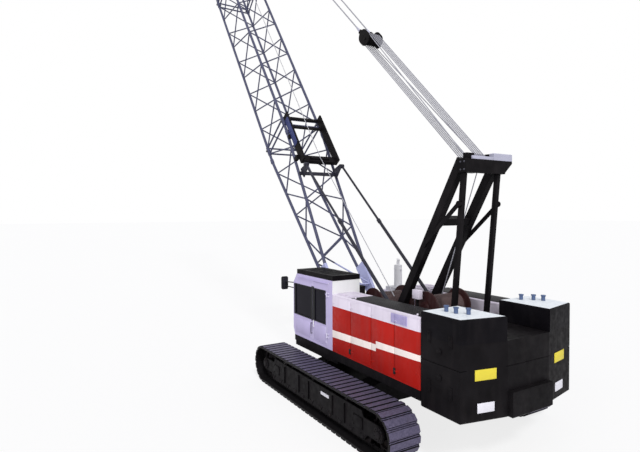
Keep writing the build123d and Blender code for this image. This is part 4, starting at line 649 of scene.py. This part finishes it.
def add_shoe(piece, x, y, z, turn):
    """One track shoe: plate with a low pad and a lip under its neighbour, link pair and pin."""
    place = Matrix.Translation((x, y, z)) @ Matrix.Rotation(-turn, 4, "Y")
    half, pad = SHOE_PITCH / 2, PAD_LENGTH / 2
    inner = PAD_HEIGHT + SHOE_THICKNESS
    section = (  # outline of the shoe, seen along its width
        (-pad, 0.0), (pad, 0.0), (pad + 0.006, PAD_HEIGHT), (half - 0.005, PAD_HEIGHT + 0.004),
        (half - 0.006, inner - 0.006), (half + 0.018, inner - 0.001), (half + 0.018, inner + 0.007),
        (half - 0.02, inner + 0.004), (-half + 0.006, inner), (-half + 0.005, PAD_HEIGHT + 0.004),
        (-pad - 0.006, PAD_HEIGHT),
    )
    x_dir, z_dir = (place.to_3x3() @ axis for axis in (X, Z))
    piece.prism(section, (place @ Vector((0, SHOE_WIDTH / 2, 0)), x_dir, z_dir), SHOE_WIDTH)
    link = (  # side plate of the chain
        (-half - 0.004, inner), (half + 0.004, inner), (half - 0.012, inner + LINK_DEPTH),
        (-half + 0.012, inner + LINK_DEPTH),
    )
    for side in SIDES:
        piece.prism(link, (place @ Vector((0, side * 0.078 + 0.02, 0)), x_dir, z_dir), 0.04)
    piece.stub(place @ Vector((half, 0, inner + 0.03)), Y, 0.112, -0.112, 0.021, 8)


def add_track(name, y_centre):
    piece = Piece()
    for index in range(SHOE_COUNT):
        x, z, turn = shoe_frame(index)
        add_shoe(piece, x, y_centre, z, turn)
    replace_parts(piece.make(f"{name}_shoes", "track_steel", 0, "undercarriage"), name)


def add_track_frame(name, side):
    """Hubs, roller caps, ribs and bolted covers on the outer face of a track frame."""
    face, out = side * (TRACK_Y + FRAME_FACE), Y * side
    hubs, ribs = Piece(), Piece()
    for x in (-AXLE_X, AXLE_X):
        centre = Vector((x, face, TRACK_RADIUS))
        hubs.stub(centre, out, 0, 0.022, 0.145, 32)
        hubs.stub(centre, out, 0.02, 0.05, 0.085, 32, 0.07)
        hubs.bolt_ring(centre + out * 0.022, out, 0.115, 10, 0.013, 0.014)
    for index in range(11):
        x = (index - 5) * 0.425
        hubs.stub((x, face, 0.2625), out, 0, 0.018, 0.04, 16, 0.032)
        hubs.bolts(((x + shift, face, 0.3125) for shift in (-0.075, 0.075)), out, 0.013, 0.014)
    for x in (-1.45, -0.95, 0.15, 0.65, 1.45):
        ribs.box((x, face + side * 0.014, 0.52), (0.02, 0.03, 0.44))
    for x in (-1.95, 1.95):
        ribs.box((x, face + side * 0.008, 0.52), (0.34, 0.016, 0.24))
        ribs.bolts(product((x - 0.14, x + 0.14), (face + side * 0.016,), (0.43, 0.61)), out,
                   0.012, 0.012)
    hubs.make(f"{name}_hubs", "underframe_iron", 0.002, "undercarriage")
    ribs.make(f"{name}_ribs", "black_paint", 0.002, "undercarriage")


def add_carbody_bolts():
    """Bolts of the slewing ring and of the track frames' seats."""
    piece = Piece()
    piece.bolt_ring((0, 0, 1.06), Z, 0.85, 48, 0.012, 0.016)
    for way, y in product(SIDES, (-1.3, 1.3)):
        piece.bolt_ring((1.26 * way, y, 0.66), X * way, 0.1, 6, 0.012, 0.014)
    piece.make("carbody_bolts", "underframe_iron", 0, "undercarriage")


# counterweight

CHAMFER_CORNER = Vector((-4.079, BLOCK_SIDE, 0))
CHAMFER_CENTRE = Vector((-4.291, 0.616, 0))
PLATES = (                        # name, inner edge, width, lower and upper edge
    ("yellow", 0.87, 0.46, 1.83, 2.03), ("white", 0.91, 0.365, 1.235, 1.415),
)


def add_plates():
    """Blank plates on the slanted faces of the counterweight and on the left track frame."""
    run = (CHAMFER_CORNER - CHAMFER_CENTRE).normalized()
    for side, name in NAMED_SIDES:
        turn = Matrix.Rotation(-side * atan2(run.x, run.y), 4, "Z")
        for label, inner, width, low, high in PLATES:
            middle = (inner + width / 2 - CHAMFER_CENTRE.y) / run.y
            place = CHAMFER_CENTRE + run * middle + Vector((-run.y, run.x, 0)) * 0.003
            centre = Vector((place.x, side * place.y, (low + high) / 2))
            length, height = width / run.y, high - low
            piece = Piece()
            piece.box(centre, (0.006, length, height), turn)
            for across, rise in product((-0.46, 0.46), (-0.44, 0.44)):
                foot = turn @ Vector((-0.003, across * (length - 0.03), 0))
                piece.bolt(centre + foot + Z * rise * (height - 0.02), turn @ -X, 0.006, 0.005)
            piece.make(f"plate_{label}_{name}", f"{label}_plate", 0.0015)
    plate = Piece()
    plate.box((-0.62, TRACK_Y + FRAME_FACE + 0.003, 0.65), (0.36, 0.006, 0.075))
    plate.make("plate_track_frame", "white_plate", 0.002, "undercarriage")


def add_counterweight_fittings():
    """Bolted straps over the slab joints and lifting eyes in the sides."""
    piece = Piece()
    for side in SIDES:
        out, face = Y * side, side * BLOCK_SIDE
        for x, z in product((-3.3, -3.85), (1.56, 2.503)):
            piece.box((x, face + side * 0.006, z), (0.09, 0.014, 0.24))
            piece.bolts(((x, face + side * 0.013, z + rise) for rise in (-0.08, 0.08)), out,
                        0.017, 0.016)
        for z in (1.78, 2.27):
            piece.stub((-3.57, face, z), out, 0, 0.02, 0.06, 24)
            piece.stub((-3.57, face, z), out, 0.02, 0.03, 0.04, 24, 0.03)
    piece.make("counterweight_fittings", "black_paint", 0.002)


# machinery houses

VALVE_BOX = Vector((-1.89, 0.665, 3.03))
CABINET_X, CABINET_Y = 0.30, 0.69
SILENCER = Vector((0.95, -1.15, 0))


def add_doors(name, side):
    """Door skins with hinges, flush locks, two dark handles and a louvre near the rear."""
    face, out = side * HALF_WIDTH, Y * side
    low, high = BED_TOP + 0.035, HOUSE_TOP - 0.07
    skins, handles, louvre = Piece(), Piece(), Piece()
    edges = (HOUSE_REAR + 0.02, *DOOR_JOINTS, HOUSE_FRONT - 0.02)
    for index, (rear, front) in enumerate(zip(edges, edges[1:])):
        if side > 0 or index:     # the right house has its vents in the rear field
            skins.box(((rear + front) / 2, face + side * 0.001, (low + high) / 2),
                      (front - rear - 0.026, 0.012, high - low))
        for z in (1.56, 2.62):
            skins.stub((front - 0.06, face + side * 0.010, z), X, -0.05, 0.05, 0.009, 10)
        skins.stub((rear + 0.07, face + side * 0.006, 1.70), out, 0, 0.008, 0.022, 16)
    for x in (-2.28, -0.62):
        handles.box((x, face + side * 0.010, 1.555), (0.07, 0.010, 0.13))
        for z in (1.52, 1.59):
            handles.stub((x, face, z), out, 0.014, 0.020, 0.012)
    # the slats' darker lavender finish is painted shade
    for index in range(13):
        louvre.prism(((0, 0.0), (0.018, 0.008), (0.018, 0.012), (0, 0.016)),
                     ((-2.68 + 0.04 * index, face + side * 0.006, 2.57), out, X), side * -0.2)
    skins.make(f"{name}_doors", "white_paint", 0.003)
    handles.make(f"{name}_door_handles", "black_plastic", 0.001)
    louvre.make(f"{name}_louvre", "louvre_shade_paint")


def add_roofs():
    """Walkway plates, hatches and lifting eyes on both houses, and a valve box on its post."""
    walks, hatches, box, post = Piece(), Piece(), Piece(), Piece()
    for side in SIDES:
        middle = side * (HOUSE_IN + HALF_WIDTH) / 2
        walks.box((-1.82, middle, HOUSE_TOP + 0.004), (2.42, 0.66, 0.008))
        for x in (-2.9, -0.75):
            hatches.stub((x, side * 1.57, HOUSE_TOP), Z, 0, 0.035, 0.022)
            hatches.box((x, side * 1.57, HOUSE_TOP + 0.004), (0.1, 0.09, 0.008))
        for x in (-0.32, -0.02):
            hatches.box((x, middle, HOUSE_TOP + 0.012), (0.24, 0.5, 0.024))
    walks.make("roof_walkways", "tread_plate", 0.002)
    hatches.make("roof_hatches", "pale_paint", 0.004)
    x, y, top = VALVE_BOX.x, VALVE_BOX.y, VALVE_BOX.z - 0.10
    box.box(VALVE_BOX, (0.22, 0.12, 0.21))
    box.make("valve_box", "pale_paint", 0.012)
    post.box((x, y, (BED_TOP + top) / 2), (0.05, 0.05, top - BED_TOP))
    post.box((x, y, BED_TOP + 0.006), (0.14, 0.12, 0.012))
    post.box((x, y, top - 0.01), (0.18, 0.10, 0.012))
    post.bolts(((x + shift, y, BED_TOP + 0.012) for shift in (-0.05, 0.05)), Z, 0.009, 0.01)
    post.make("valve_box_post", "black_paint", 0.002)


def add_cabinet():
    """Narrow dark cabinet beside the cab's inner rear corner."""
    piece = Piece()
    low, high = BED_TOP, 2.95
    piece.box((CABINET_X, CABINET_Y, (low + high) / 2), (0.24, 0.15, high - low))
    piece.box((CABINET_X, CABINET_Y, high - 0.006), (0.26, 0.17, 0.02))
    piece.box((0.176, CABINET_Y, 2.2), (0.012, 0.12, 1.4))
    for index in range(8):
        piece.prism(((0, 0), (-0.014, -0.012), (-0.014, -0.016), (0, -0.004)),
                    ((0.170, CABINET_Y + 0.05, 2.45 + 0.04 * index), X, Z), 0.10)
    for z in (1.7, 2.2, 2.8):
        piece.stub((0.168, 0.752, z), Z, -0.04, 0.04, 0.008, 10)
    piece.make("rear_cabinet", "black_paint", 0.002)


def add_exhaust():
    """Clamps round the silencer and a flap over the tailpipe."""
    piece = Piece()
    for z in (2.78, 3.2):
        piece.stub(SILENCER, Z, z, z + 0.035, 0.121, 32)
        middle = SILENCER + Z * (z + 0.0175)
        piece.box(middle - X * 0.135, (0.05, 0.03, 0.03))
        piece.stub(middle - X * 0.14, Y, -0.03, 0.03, 0.007, 8)
    tilted = Matrix.Rotation(radians(-24), 3, "Y") @ Z
    piece.stub(SILENCER + Z * 3.50, tilted, 0, 0.006, 0.052, 24)
    piece.stub(SILENCER + Vector((-0.05, 0, 3.482)), Y, -0.03, 0.03, 0.007, 8)
    piece.bolts((SILENCER + Vector((x, y, 2.69)) for x, y in product((-0.27, 0.27), (-0.17, 0.17))),
                Z, 0.012, 0.014)
    piece.make("exhaust_fittings", "silencer_metal", 0.001)


def add_winch_details():
    """Rope wound on the drums, and bearing bolts and a ring of bolts on the side plates."""
    bolts, turns, steps = Piece(), 30, 20
    for index, (x, z, flange, groove) in enumerate(WINCHES):
        rope, radius = Piece(), groove + 0.013
        rope.sweep([
            (x + radius * sin(2 * pi * step / steps), -0.42 + 0.84 * step / (turns * steps),
             z + radius * cos(2 * pi * step / steps))
            for step in range(turns * steps + 1)], 0.0135, 6)
        rope.make(f"wound_rope_{index + 1}", "wound_rope")
        for side in SIDES:
            bolts.bolt_ring((x, side * 0.585, z), Y * side, 0.1, 8, 0.011, 0.012)
            bolts.bolt_ring((x, side * 0.485, z), -Y * side, flange - 0.03, 16, 0.010, 0.010)
    bolts.make("winch_bolts", "winch_paint")


# cab

SEAL = (0.03, 0.026)              # width and depth of the window seals


def on_front(y, z, out=0.0):
    """Point on the outside of the windscreen, or a little in front of it."""
    return Vector((CAB_FRONT - 0.018 + out, y, z))


def add_cab_seals():
    """Window seals, and black bands over the pillars beside the side windows."""
    outer = ((0, HALF_WIDTH + 0.006, 0), X, Z)
    inner = ((0, CAB_IN + 0.02, 0), X, Z)
    front = ((CAB_FRONT - 0.02, 0, 0), Y, Z)
    low, high = WINDOW_LOW - 0.03, WINDOW_HIGH + 0.03
    seals, door_seals = Piece(), Piece()
    seals.border(outer, (1.235, WINDOW_LOW), (2.185, WINDOW_HIGH), *SEAL)
    seals.border(inner, (0.52, WINDOW_LOW), (2.185, WINDOW_HIGH), *SEAL)
    seals.border(front, (0.87, 1.63), (1.576, 2.86), *SEAL)
    seals.rectangle(outer, (1.171, low), (1.235, high), 0.006)
    seals.rectangle(outer, (2.185, WINDOW_LOW), (2.25, WINDOW_HIGH), 0.006)
    door_seals.border(outer, (0.495, WINDOW_LOW), (1.095, WINDOW_HIGH), *SEAL)
    door_seals.rectangle(outer, (1.095, low), (CAB_DOOR_FRONT, high), 0.006)
    seals.make("cab_seals", "black_plastic", 0.002)
    door_seals.make("cab_door_seals", "black_plastic", 0.002, "cab_door")


def add_cab_trim():
    """Door panel and lock, gutter, grab rail, wiper, lamps and the mirror's glass."""
    panel, lock, trim, rails, lamps, lenses, mirror = (Piece() for _ in range(7))
    panel.box((0.79, HALF_WIDTH + 0.002, 1.71), (0.62, 0.010, 0.42))
    panel.make("cab_door_panel", "cab_paint", 0.004, "cab_door")
    lock.box((1.125, HALF_WIDTH + 0.006, 1.86), (0.05, 0.012, 0.09))
    lock.stub((1.125, HALF_WIDTH, 1.845), Y, 0.01, 0.022, 0.014, 14)
    lock.make("cab_door_lock", "black_plastic", 0.002, "cab_door")

    trim.box((1.15, HALF_WIDTH + 0.012, 3.065), (1.62, 0.024, 0.018))
    trim.box((1.71, HALF_WIDTH + 0.002, 1.68), (0.86, 0.010, 0.40))
    trim.box((CAB_REAR + 0.7, 1.0, 3.168), (0.02, 0.2, 0.016))
    trim.make("cab_trim", "cab_paint", 0.003)

    rail = ((0, 1.62), (0.045, 1.62), (0.045, 1.90), (0, 1.90))
    rails.pipe([(1.20, HALF_WIDTH + out, z) for out, z in rail], 0.011)
    wiper = on_front(CAB_MIDDLE, 1.70)
    rails.stub(wiper, X, 0, 0.03, 0.02, 16)
    rails.pipe([wiper + X * 0.022, on_front(1.10, 1.95, 0.022), on_front(1.02, 2.2, 0.018)], 0.006)
    rails.stub(on_front(1.02, 0, 0.012), Z, 1.98, 2.46, 0.008, 8)
    rails.make("cab_rails", "black_plastic")

    for y in (0.95, 1.5):
        centre = Vector((2.16, y, 3.20))
        lamps.stub(centre, X, -0.09, 0.02, 0.035, 20, 0.062)
        lamps.stub(centre, X, 0.02, 0.035, 0.066, 20)
        lamps.box(centre - X * 0.03 - Z * 0.06, (0.03, 0.05, 0.05))
        lenses.stub(centre, X, 0.034, 0.040, 0.056, 20, 0.05)
    lamps.make("cab_lamps", "black_plastic", 0.001)
    lenses.make("cab_lamp_lenses", "lamp_lens")

    outline = ((-1, -0.85), (-0.8, -1), (0.8, -1), (1, -0.85), (1, 0.85), (0.8, 1), (-0.8, 1),
               (-1, 0.85))
    mirror.prism([(0.085 * x, 0.165 * z) for x, z in outline], ((2.6495, 1.74, 2.82), -Y, Z), 0.004)
    mirror.make("mirror_glass", "mirror_silver", 0.001)


def add_controls():
    """Levers, pedals and a display on the console."""
    piece = Piece()
    for y in (1.02, 1.43):
        foot = Vector((0.98, y, 1.86))
        piece.box(foot - Z * 0.04, (0.30, 0.09, 0.08))
        piece.stub(foot + X * 0.1, Z, 0, 0.09, 0.009, 10)
        piece.stub(foot + X * 0.1, Z, 0.08, 0.17, 0.021, 14, 0.026)
    for y in (1.09, 1.36):
        piece.stub((1.80, y, 2.04), Z, 0, 0.035, 0.022, 14)
    piece.box((1.96, CAB_MIDDLE, 2.12), (0.03, 0.26, 0.18), Matrix.Rotation(radians(-14), 4, "Y"))
    piece.make("cab_controls", "grey_plastic", 0.004)


def evaluated(made):
    """Mesh of an object with its modifiers applied."""
    return bpy.data.meshes.new_from_object(
        made.evaluated_get(bpy.context.evaluated_depsgraph_get()))


def grow_pad(data, reach):
    """Blows a closed mesh up like a filled cushion; no point moves further than reach."""
    pad = new_object("pad", data)
    remesh = pad.modifiers.new("even", "REMESH")
    remesh.mode, remesh.voxel_size = "VOXEL", 0.008
    even = evaluated(pad)
    pad.modifiers.clear()
    pad.data = even
    swell = pad.modifiers.new("fill", "CLOTH")
    swell.settings.use_pressure = True
    swell.settings.uniform_pressure_force = 4
    swell.settings.quality = 4
    swell.settings.effector_weights.gravity = 0
    swell.point_cache.frame_end = 20
    before = [vertex.co.copy() for vertex in even.vertices]
    for step in range(1, 21):
        bpy.context.scene.frame_set(step)
    full = evaluated(pad)
    bpy.context.scene.frame_set(1)
    for vertex, start in zip(full.vertices, before):
        move = vertex.co - start
        if move.length > reach:
            vertex.co = start + move * (reach / move.length)
    bpy.data.objects.remove(pad)
    return full


def add_pad(name, centre, size, lean, channels):
    """Cushion with rounded corners, piping groove round its sides and sewn channels."""
    mesh = bmesh.new()
    small = toned(size, 0.94)     # the filling blows it up to its size
    bmesh.ops.create_cube(mesh, size=1, matrix=Matrix.Diagonal((*small, 1)))
    bmesh.ops.bevel(mesh, geom=mesh.edges[:], offset=0.28 * min(size), segments=4, affect="EDGES",
                    profile=0.6)
    bmesh.ops.triangulate(mesh, faces=mesh.faces)
    bmesh.ops.subdivide_edges(mesh, edges=mesh.edges[:], cuts=2, use_grid_fill=True)
    data = bpy.data.meshes.new(name)
    mesh.to_mesh(data)
    mesh.free()
    data = grow_pad(data, 0.02)
    thin = min(range(3), key=lambda axis: size[axis])
    for vertex in data.vertices:
        place = vertex.co
        for across in channels:
            gap = (place.y - across * size[1]) / 0.010
            place[thin] *= 1 - 0.16 * exp(-gap * gap)
        edge = place[thin] / 0.008
        shrink = 1 - 0.02 * exp(-edge * edge)
        for axis in range(3):
            if axis != thin:
                place[axis] *= shrink
    for face in data.polygons:
        face.use_smooth = True
    data.materials.clear()
    data.materials.append(FINISHES["seat_cloth"])
    data.transform(Matrix.Translation(centre) @ Matrix.Rotation(lean, 4, "Y"))
    pad = new_object(name, data)
    finer = pad.modifiers.new("smooth", "SUBSURF")
    finer.levels = finer.render_levels = 1
    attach(pad, "upper")
    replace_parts(pad, "cab_seat")


def add_seat():
    """Operator's seat: bellows pedestal, frame with armrests, and three cushions."""
    frame, y, lean = Piece(), CAB_MIDDLE, radians(-9.5)
    for index in range(4):
        width = 0.33 - 0.02 * (index % 2)
        frame.box((0.9, y, 1.46 + 0.055 * index), (width, width - 0.03, 0.05))
    frame.box((0.9, y, 1.672), (0.42, 0.40, 0.03))
    for arm in (1.03, 1.416):
        frame.pipe([(0.70, arm, 1.70), (0.66, arm, 1.92), (0.98, arm, 1.95)], 0.013)
        frame.box((0.86, arm, 1.965), (0.26, 0.05, 0.035))
    for bar in (1.16, 1.286):
        frame.tube((0.598, bar, 2.30), (0.583, bar, 2.39), 0.007, 8)
    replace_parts(frame.make("seat_frame", "black_plastic", 0.006), "cab_seat")
    add_pad("seat_cushion", (0.9, y, 1.745), (0.47, 0.34, 0.10), 0.0, (-0.28, 0.28))
    add_pad("seat_back", (0.655, y, 2.06), (0.10, 0.34, 0.54), lean, (-0.28, 0.28))
    add_pad("seat_headrest", (0.575, y, 2.425), (0.08, 0.25, 0.13), lean, ())


# gantry and boom

LEAD_ROLLER = 5.17                # along the boom
LEAD_OUT = 1.011                  # of the hoist rope on that roller


def add_upper_pins():
    """Pin ends on the upper works, the gantry head's bolts and its rope to the luffing winch."""
    pins, rail, rope = Piece(), Piece(), Piece()
    for side in SIDES:
        out = Y * side
        for (x, z), radius, face in (
                ((BOOM_FOOT.x, BOOM_FOOT.z), 0.075, 0.792), (GANTRY_PIN, 0.058, 0.64),
                (GANTRY_REAR_PIN, 0.058, 0.64), (BACKSTOP_PIN, 0.045, 0.742)):
            pins.pin((x, side * face, z), out, radius, 0.03)
        pins.bolt_ring(HEAD_SHAFT + out * 0.24, out, 0.03, 4, 0.007, 0.01)
        pins.bolts(product((-3.20, -3.10), (side * 0.6,), (5.76, 5.92)), out, 0.016, 0.016)
        pins.bolts(product((-3.17, -3.07), (side * 0.30, side * 0.52), (5.98,)), Z, 0.014, 0.014)
    pins.make("gantry_pins", "bolt_steel")
    rail.box((-3.22, 0.08, 6.015), (0.045, 0.63, 0.07))
    rail.make("gantry_head_rail", "guard_paint", 0.006)
    x, z = WINCHES[2][:2]
    rope.sweep([(-3.105, 0.035, 5.92), (x - 0.225, 0.035, z + 0.085)], 0.011)
    rope.make("luffing_rope_lead", "suspension_rope")


def add_boom_pins():
    """Pins at the section joints, and pin ends and bolts on the head."""
    pins = Piece()
    for joint, side, face, way in product(BOOM_JOINTS, SIDES, SIDES, SIDES):
        centre = on_boom(joint, side * BOOM_HALF_WIDTH, face * BOOM_HALF_DEPTH)
        pins.stub(centre, Y * way, SLEEVE_RADIUS - 0.01, SLEEVE_RADIUS + 0.03, 0.036, 16)
        pins.stub(centre, Y * way, SLEEVE_RADIUS + 0.03, SLEEVE_RADIUS + 0.045, 0.036, 16, 0.024)
    for side in SIDES:
        for (along, out), radius in ((HOIST_SHAFT, 0.085), (GUIDE_SHAFT, 0.07)):
            pins.pin(on_boom(along, side * 0.465, out), Y * side, radius, 0.02)
        for along, out in ((36.1, 0.30), (36.1, -0.32), (35.8, 0.0)):
            pins.bolt_ring(on_boom(along, side * 0.445, out), Y * side, 0.05, 4, 0.014, 0.014)
    pins.make("boom_pins", "bolt_steel", 0, "boom")


def add_boom_details():
    """The guide frame's panel, rope rollers on the boom's back, and the hoist rope over them."""
    panel, rollers, rope, lead = Piece(), Piece(), Piece(), Piece()
    post_face = 0.697
    panel.prism(((5.75, 0.84), (6.95, 0.84), (6.95, 1.03), (6.90, 1.07), (5.80, 1.07), (5.75, 1.03)),
                (BOOM_FOOT + Y * post_face, BOOM_X, BOOM_N), 0.012)
    panel.bolts((on_boom(along, post_face, 0.95) for along in (5.85, 6.35, 6.85)), Y, 0.014, 0.012)
    panel.make("guide_frame_panel", "panel_paint", 0.002, "boom")

    turn = axes(BOOM_X, Y, BOOM_N)
    run = [(LEAD_ROLLER, LEAD_OUT)]
    rollers.stub(on_boom(LEAD_ROLLER, 0, 0.962), Y, 0.32, -0.32, 0.036, 16)
    for side in SIDES:
        rollers.box(on_boom(LEAD_ROLLER, side * 0.33, 0.955), (0.10, 0.02, 0.10), turn)
    for along in (16.25, 28.25):
        rollers.box(on_boom(along, 0, 0.83), (0.10, 1.44, 0.06), turn)
        for side in SIDES:
            rollers.box(on_boom(along, side * 0.26, 0.885), (0.09, 0.02, 0.10), turn)
            rollers.box(on_boom(along, side * 0.7, 0.80), (0.14, 0.11, 0.05), turn)
        rollers.stub(on_boom(along, 0, 0.91), Y, 0.25, -0.25, 0.038, 16)
        run.append((along, 0.91 + 0.051))
    run.append((GUIDE_SHAFT[0], GUIDE_SHAFT[1] + 0.213))
    rollers.make("boom_rope_rollers", "black_paint", 0.003, "boom")
    rope.sweep([on_boom(along, 0, out) for along, out in run], 0.012)
    rope.make("hoist_rope_run", "boom_rope", 0, "boom")

    x, z = WINCHES[0][:2]
    start, end = Vector((x - 0.223, 0, z + 0.188)), on_boom(LEAD_ROLLER, 0, LEAD_OUT)
    lead.sweep([start.lerp(end, step / 24) for step in range(25)], 0.012)
    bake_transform(lead.make("hoist_rope_lead", "boom_rope", 0, None))


def add_pendant_links():
    """Link plates that join the pendants' lengths, and sockets at their ends."""
    anchor = on_boom(BOOM_LENGTH - 0.3, 0, 0.42)
    run = (anchor - HEAD_SHAFT).normalized()
    reach, start = (anchor - HEAD_SHAFT).length, 5.63
    turn = axes(run, Y, run.cross(Y))
    piece = Piece()

    def at(side, along):
        share = (along - start) / (reach - 0.06 - start)
        return HEAD_SHAFT + run * along + Y * side * (0.18 + share * 0.297)

    for side in SIDES:
        for along in (start + 9, start + 18):
            for shift in (-0.032, 0.032):
                piece.box(at(side, along) + Y * shift, (0.34, 0.014, 0.10), turn)
            for shift in (-0.12, 0.12):
                piece.stub(at(side, along + shift), Y, -0.052, 0.052, 0.024, 14)
            for way in SIDES:
                piece.tube(at(side, along + way * 0.14), at(side, along + way * 0.36), 0.04, 14, 0.022)
        piece.tube(at(side, start - 0.005), at(side, start + 0.22), 0.042, 14, 0.022)
        piece.tube(at(side, reach - 0.36), at(side, reach - 0.07), 0.022, 14, 0.04)
    piece.make("pendant_links", "guard_paint", 0.001, "boom")


def add_suspension():
    """Luffing falls, reeved between six sheaves on the spreader and five on the gantry head."""
    run = SUSPENSION_RUN
    over = Vector((-run.z, 0, run.x))
    spreader = HEAD_SHAFT + run * FALLS_LENGTH
    falls = Piece()

    def stretch(low_y, low_out, high_y, high_out):
        low = HEAD_SHAFT + Y * low_y + over * low_out
        high = spreader + Y * high_y + over * high_out
        falls.sweep([low.lerp(high, step / 48) for step in range(49)], ROPE_RADIUS)

    def bend(centre, way):
        turns = [pi * step / 16 for step in range(17)]
        falls.sweep([centre + (over * cos(turn) + run * way * sin(turn)) * FALL_OUT
                     for turn in turns], ROPE_RADIUS)

    for index in range(5):
        low_y = (index - 2) * FALL_PITCH
        for side in SIDES:
            stretch(low_y, side * FALL_OUT, low_y - side * FALL_PITCH / 2, side * FALL_OUT)
        bend(HEAD_SHAFT + Y * low_y, -1)
    for index in range(6):
        bend(spreader + Y * (index - 2.5) * FALL_PITCH, 1)
    for side in SIDES:
        socket = HEAD_SHAFT + Y * side * 0.193
        stretch(side * 0.193, 0, side * 2.5 * FALL_PITCH, side * FALL_OUT)
        falls.stub(socket, Y, -0.011, 0.011, 0.06, 20)
        falls.stub(socket, run, 0.04, 0.26, 0.026, 12, 0.016)
    made = falls.make("luffing_falls_run", "suspension_rope", 0, None)
    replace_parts(made, "luffing_ropes_lower", "luffing_ropes_upper")
    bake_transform(made)


def add_backstop_details():
    """Glands on the tubes and pin ends at the boom."""
    foot = Vector((BACKSTOP_PIN[0], 0, BACKSTOP_PIN[1]))
    eye = on_boom(BACKSTOP_EYE[0], 0, BACKSTOP_EYE[1])
    run = (eye - foot).normalized()
    glands, pins = Piece(), Piece()
    for side in SIDES:
        y = Y * side * 0.69
        glands.stub(foot + y, run, 3.20, 3.31, 0.058, 24)
        glands.stub(foot + y, run, 3.31, 3.335, 0.058, 24, 0.044)
        glands.stub(foot + y, run, 0.10, 0.16, 0.055, 24)
        for way in SIDES:
            pins.stub(eye + y, Y * way, 0.042, 0.06, 0.033, 20)
    glands.make("backstop_glands", "backstop_paint", 0.001, "backstop_tubes")
    pins.make("backstop_rod_pins", "bolt_steel", 0, "backstop_rods")


def add_hook_details():
    """Pin ends and bolts on the hook block's cheeks, and the safety latch in the hook."""
    shaft = on_boom(HOIST_SHAFT[0], 0, HOIST_SHAFT[1])
    x, z = shaft.x, shaft.z - 3.8
    block, latch = Piece(), Piece()
    for side in SIDES:
        block.pin((x, side * 0.235, z), Y * side, 0.06, 0.012)
        for shift_x, shift_z in ((-0.22, 0.05), (0.22, 0.05), (-0.1, -0.42), (0.1, -0.42)):
            block.bolt((x + shift_x, side * 0.215, z + shift_z), Y * side, 0.022, 0.024)
    block.make("hook_block_bolts", "bolt_steel", 0, "hook_block")
    bowl = z - 0.95
    latch.prism(((0.07, 0.20), (0.10, 0.19), (0.165, 0.05), (0.14, 0.045)),
                ((x, 0.012, bowl), X, Z), 0.024)
    latch.stub((x + 0.085, 0, bowl + 0.19), Y, -0.03, 0.03, 0.014, 14)
    latch.make("hook_latch", "hook_steel", 0.001, "hook")


# stage, light and camera

CAMERA_AT = (-10.133, 8.128, 4.864)
CAMERA_YAW = radians(-30.725)     # of the view, from +X to the left
CAMERA_PITCH = radians(1.45)      # downwards
CAMERA_ROLL = radians(-0.206)
CAMERA_LENS = 27.113              # on a sensor 36 mm wide
LAMPS = (                         # name, strength, width of the sun in degrees, direction
    ("key", 1.8, 9, (0.66, -0.20, -0.72)),
    ("side", 0.85, 30, (0.25, -0.90, -0.35)),
)


def add_camera():
    data = bpy.data.cameras.new("camera")
    data.sensor_width, data.lens = 36, CAMERA_LENS
    data.clip_end = 500
    camera = new_object("camera", data)
    camera.matrix_world = (
        Matrix.Translation(CAMERA_AT) @ Matrix.Rotation(CAMERA_YAW - pi / 2, 4, "Z")
        @ Matrix.Rotation(pi / 2 - CAMERA_PITCH, 4, "X") @ Matrix.Rotation(CAMERA_ROLL, 4, "Z"))
    bpy.context.scene.camera = camera


def add_floor():
    bpy.ops.mesh.primitive_plane_add(size=600)
    floor = bpy.context.object
    floor.name = "floor"
    pale = Finish("floor", 0.9, Base_Color=(0.85, 0.85, 0.85, 1))
    glow = pale.node("ShaderNodeEmission")
    pale.show(pale.shader, glow, pale.tree.nodes["Material Output"], 0.8)
    floor.data.materials.append(pale.material)


def add_light():
    world = bpy.data.worlds.new("studio")
    bpy.context.scene.world = world
    world.use_nodes = True
    studio = Nodes(world.node_tree)
    sky = studio.feed(studio.tree.nodes["Background"], Color=(0.92, 0.92, 1.0, 1), Strength=0.55)
    white = studio.feed(studio.node("ShaderNodeBackground"), Color=(1, 1, 1, 1))
    studio.show(sky, white, studio.tree.nodes["World Output"])
    for name, strength, width, direction in LAMPS:
        data = bpy.data.lights.new(name, "SUN")
        data.energy, data.angle = strength, radians(width)
        lamp = new_object(name, data)
        lamp.rotation_mode = "QUATERNION"
        lamp.rotation_quaternion = Vector(direction).to_track_quat("-Z", "Y")


for side, word in NAMED_SIDES:
    add_track(f"track_{word}", side * TRACK_Y)
    add_track_frame(f"track_frame_{word}", side)
    add_doors(f"house_{word}", side)
add_carbody_bolts()
add_plates()
add_counterweight_fittings()
add_roofs()
add_cabinet()
add_exhaust()
add_winch_details()
add_cab_seals()
add_cab_trim()
add_controls()
add_seat()
add_upper_pins()
add_boom_pins()
add_boom_details()
add_pendant_links()
add_suspension()
add_backstop_details()
add_hook_details()

bpy.context.scene.view_settings.view_transform = "Standard"
add_camera()
add_floor()
add_light()
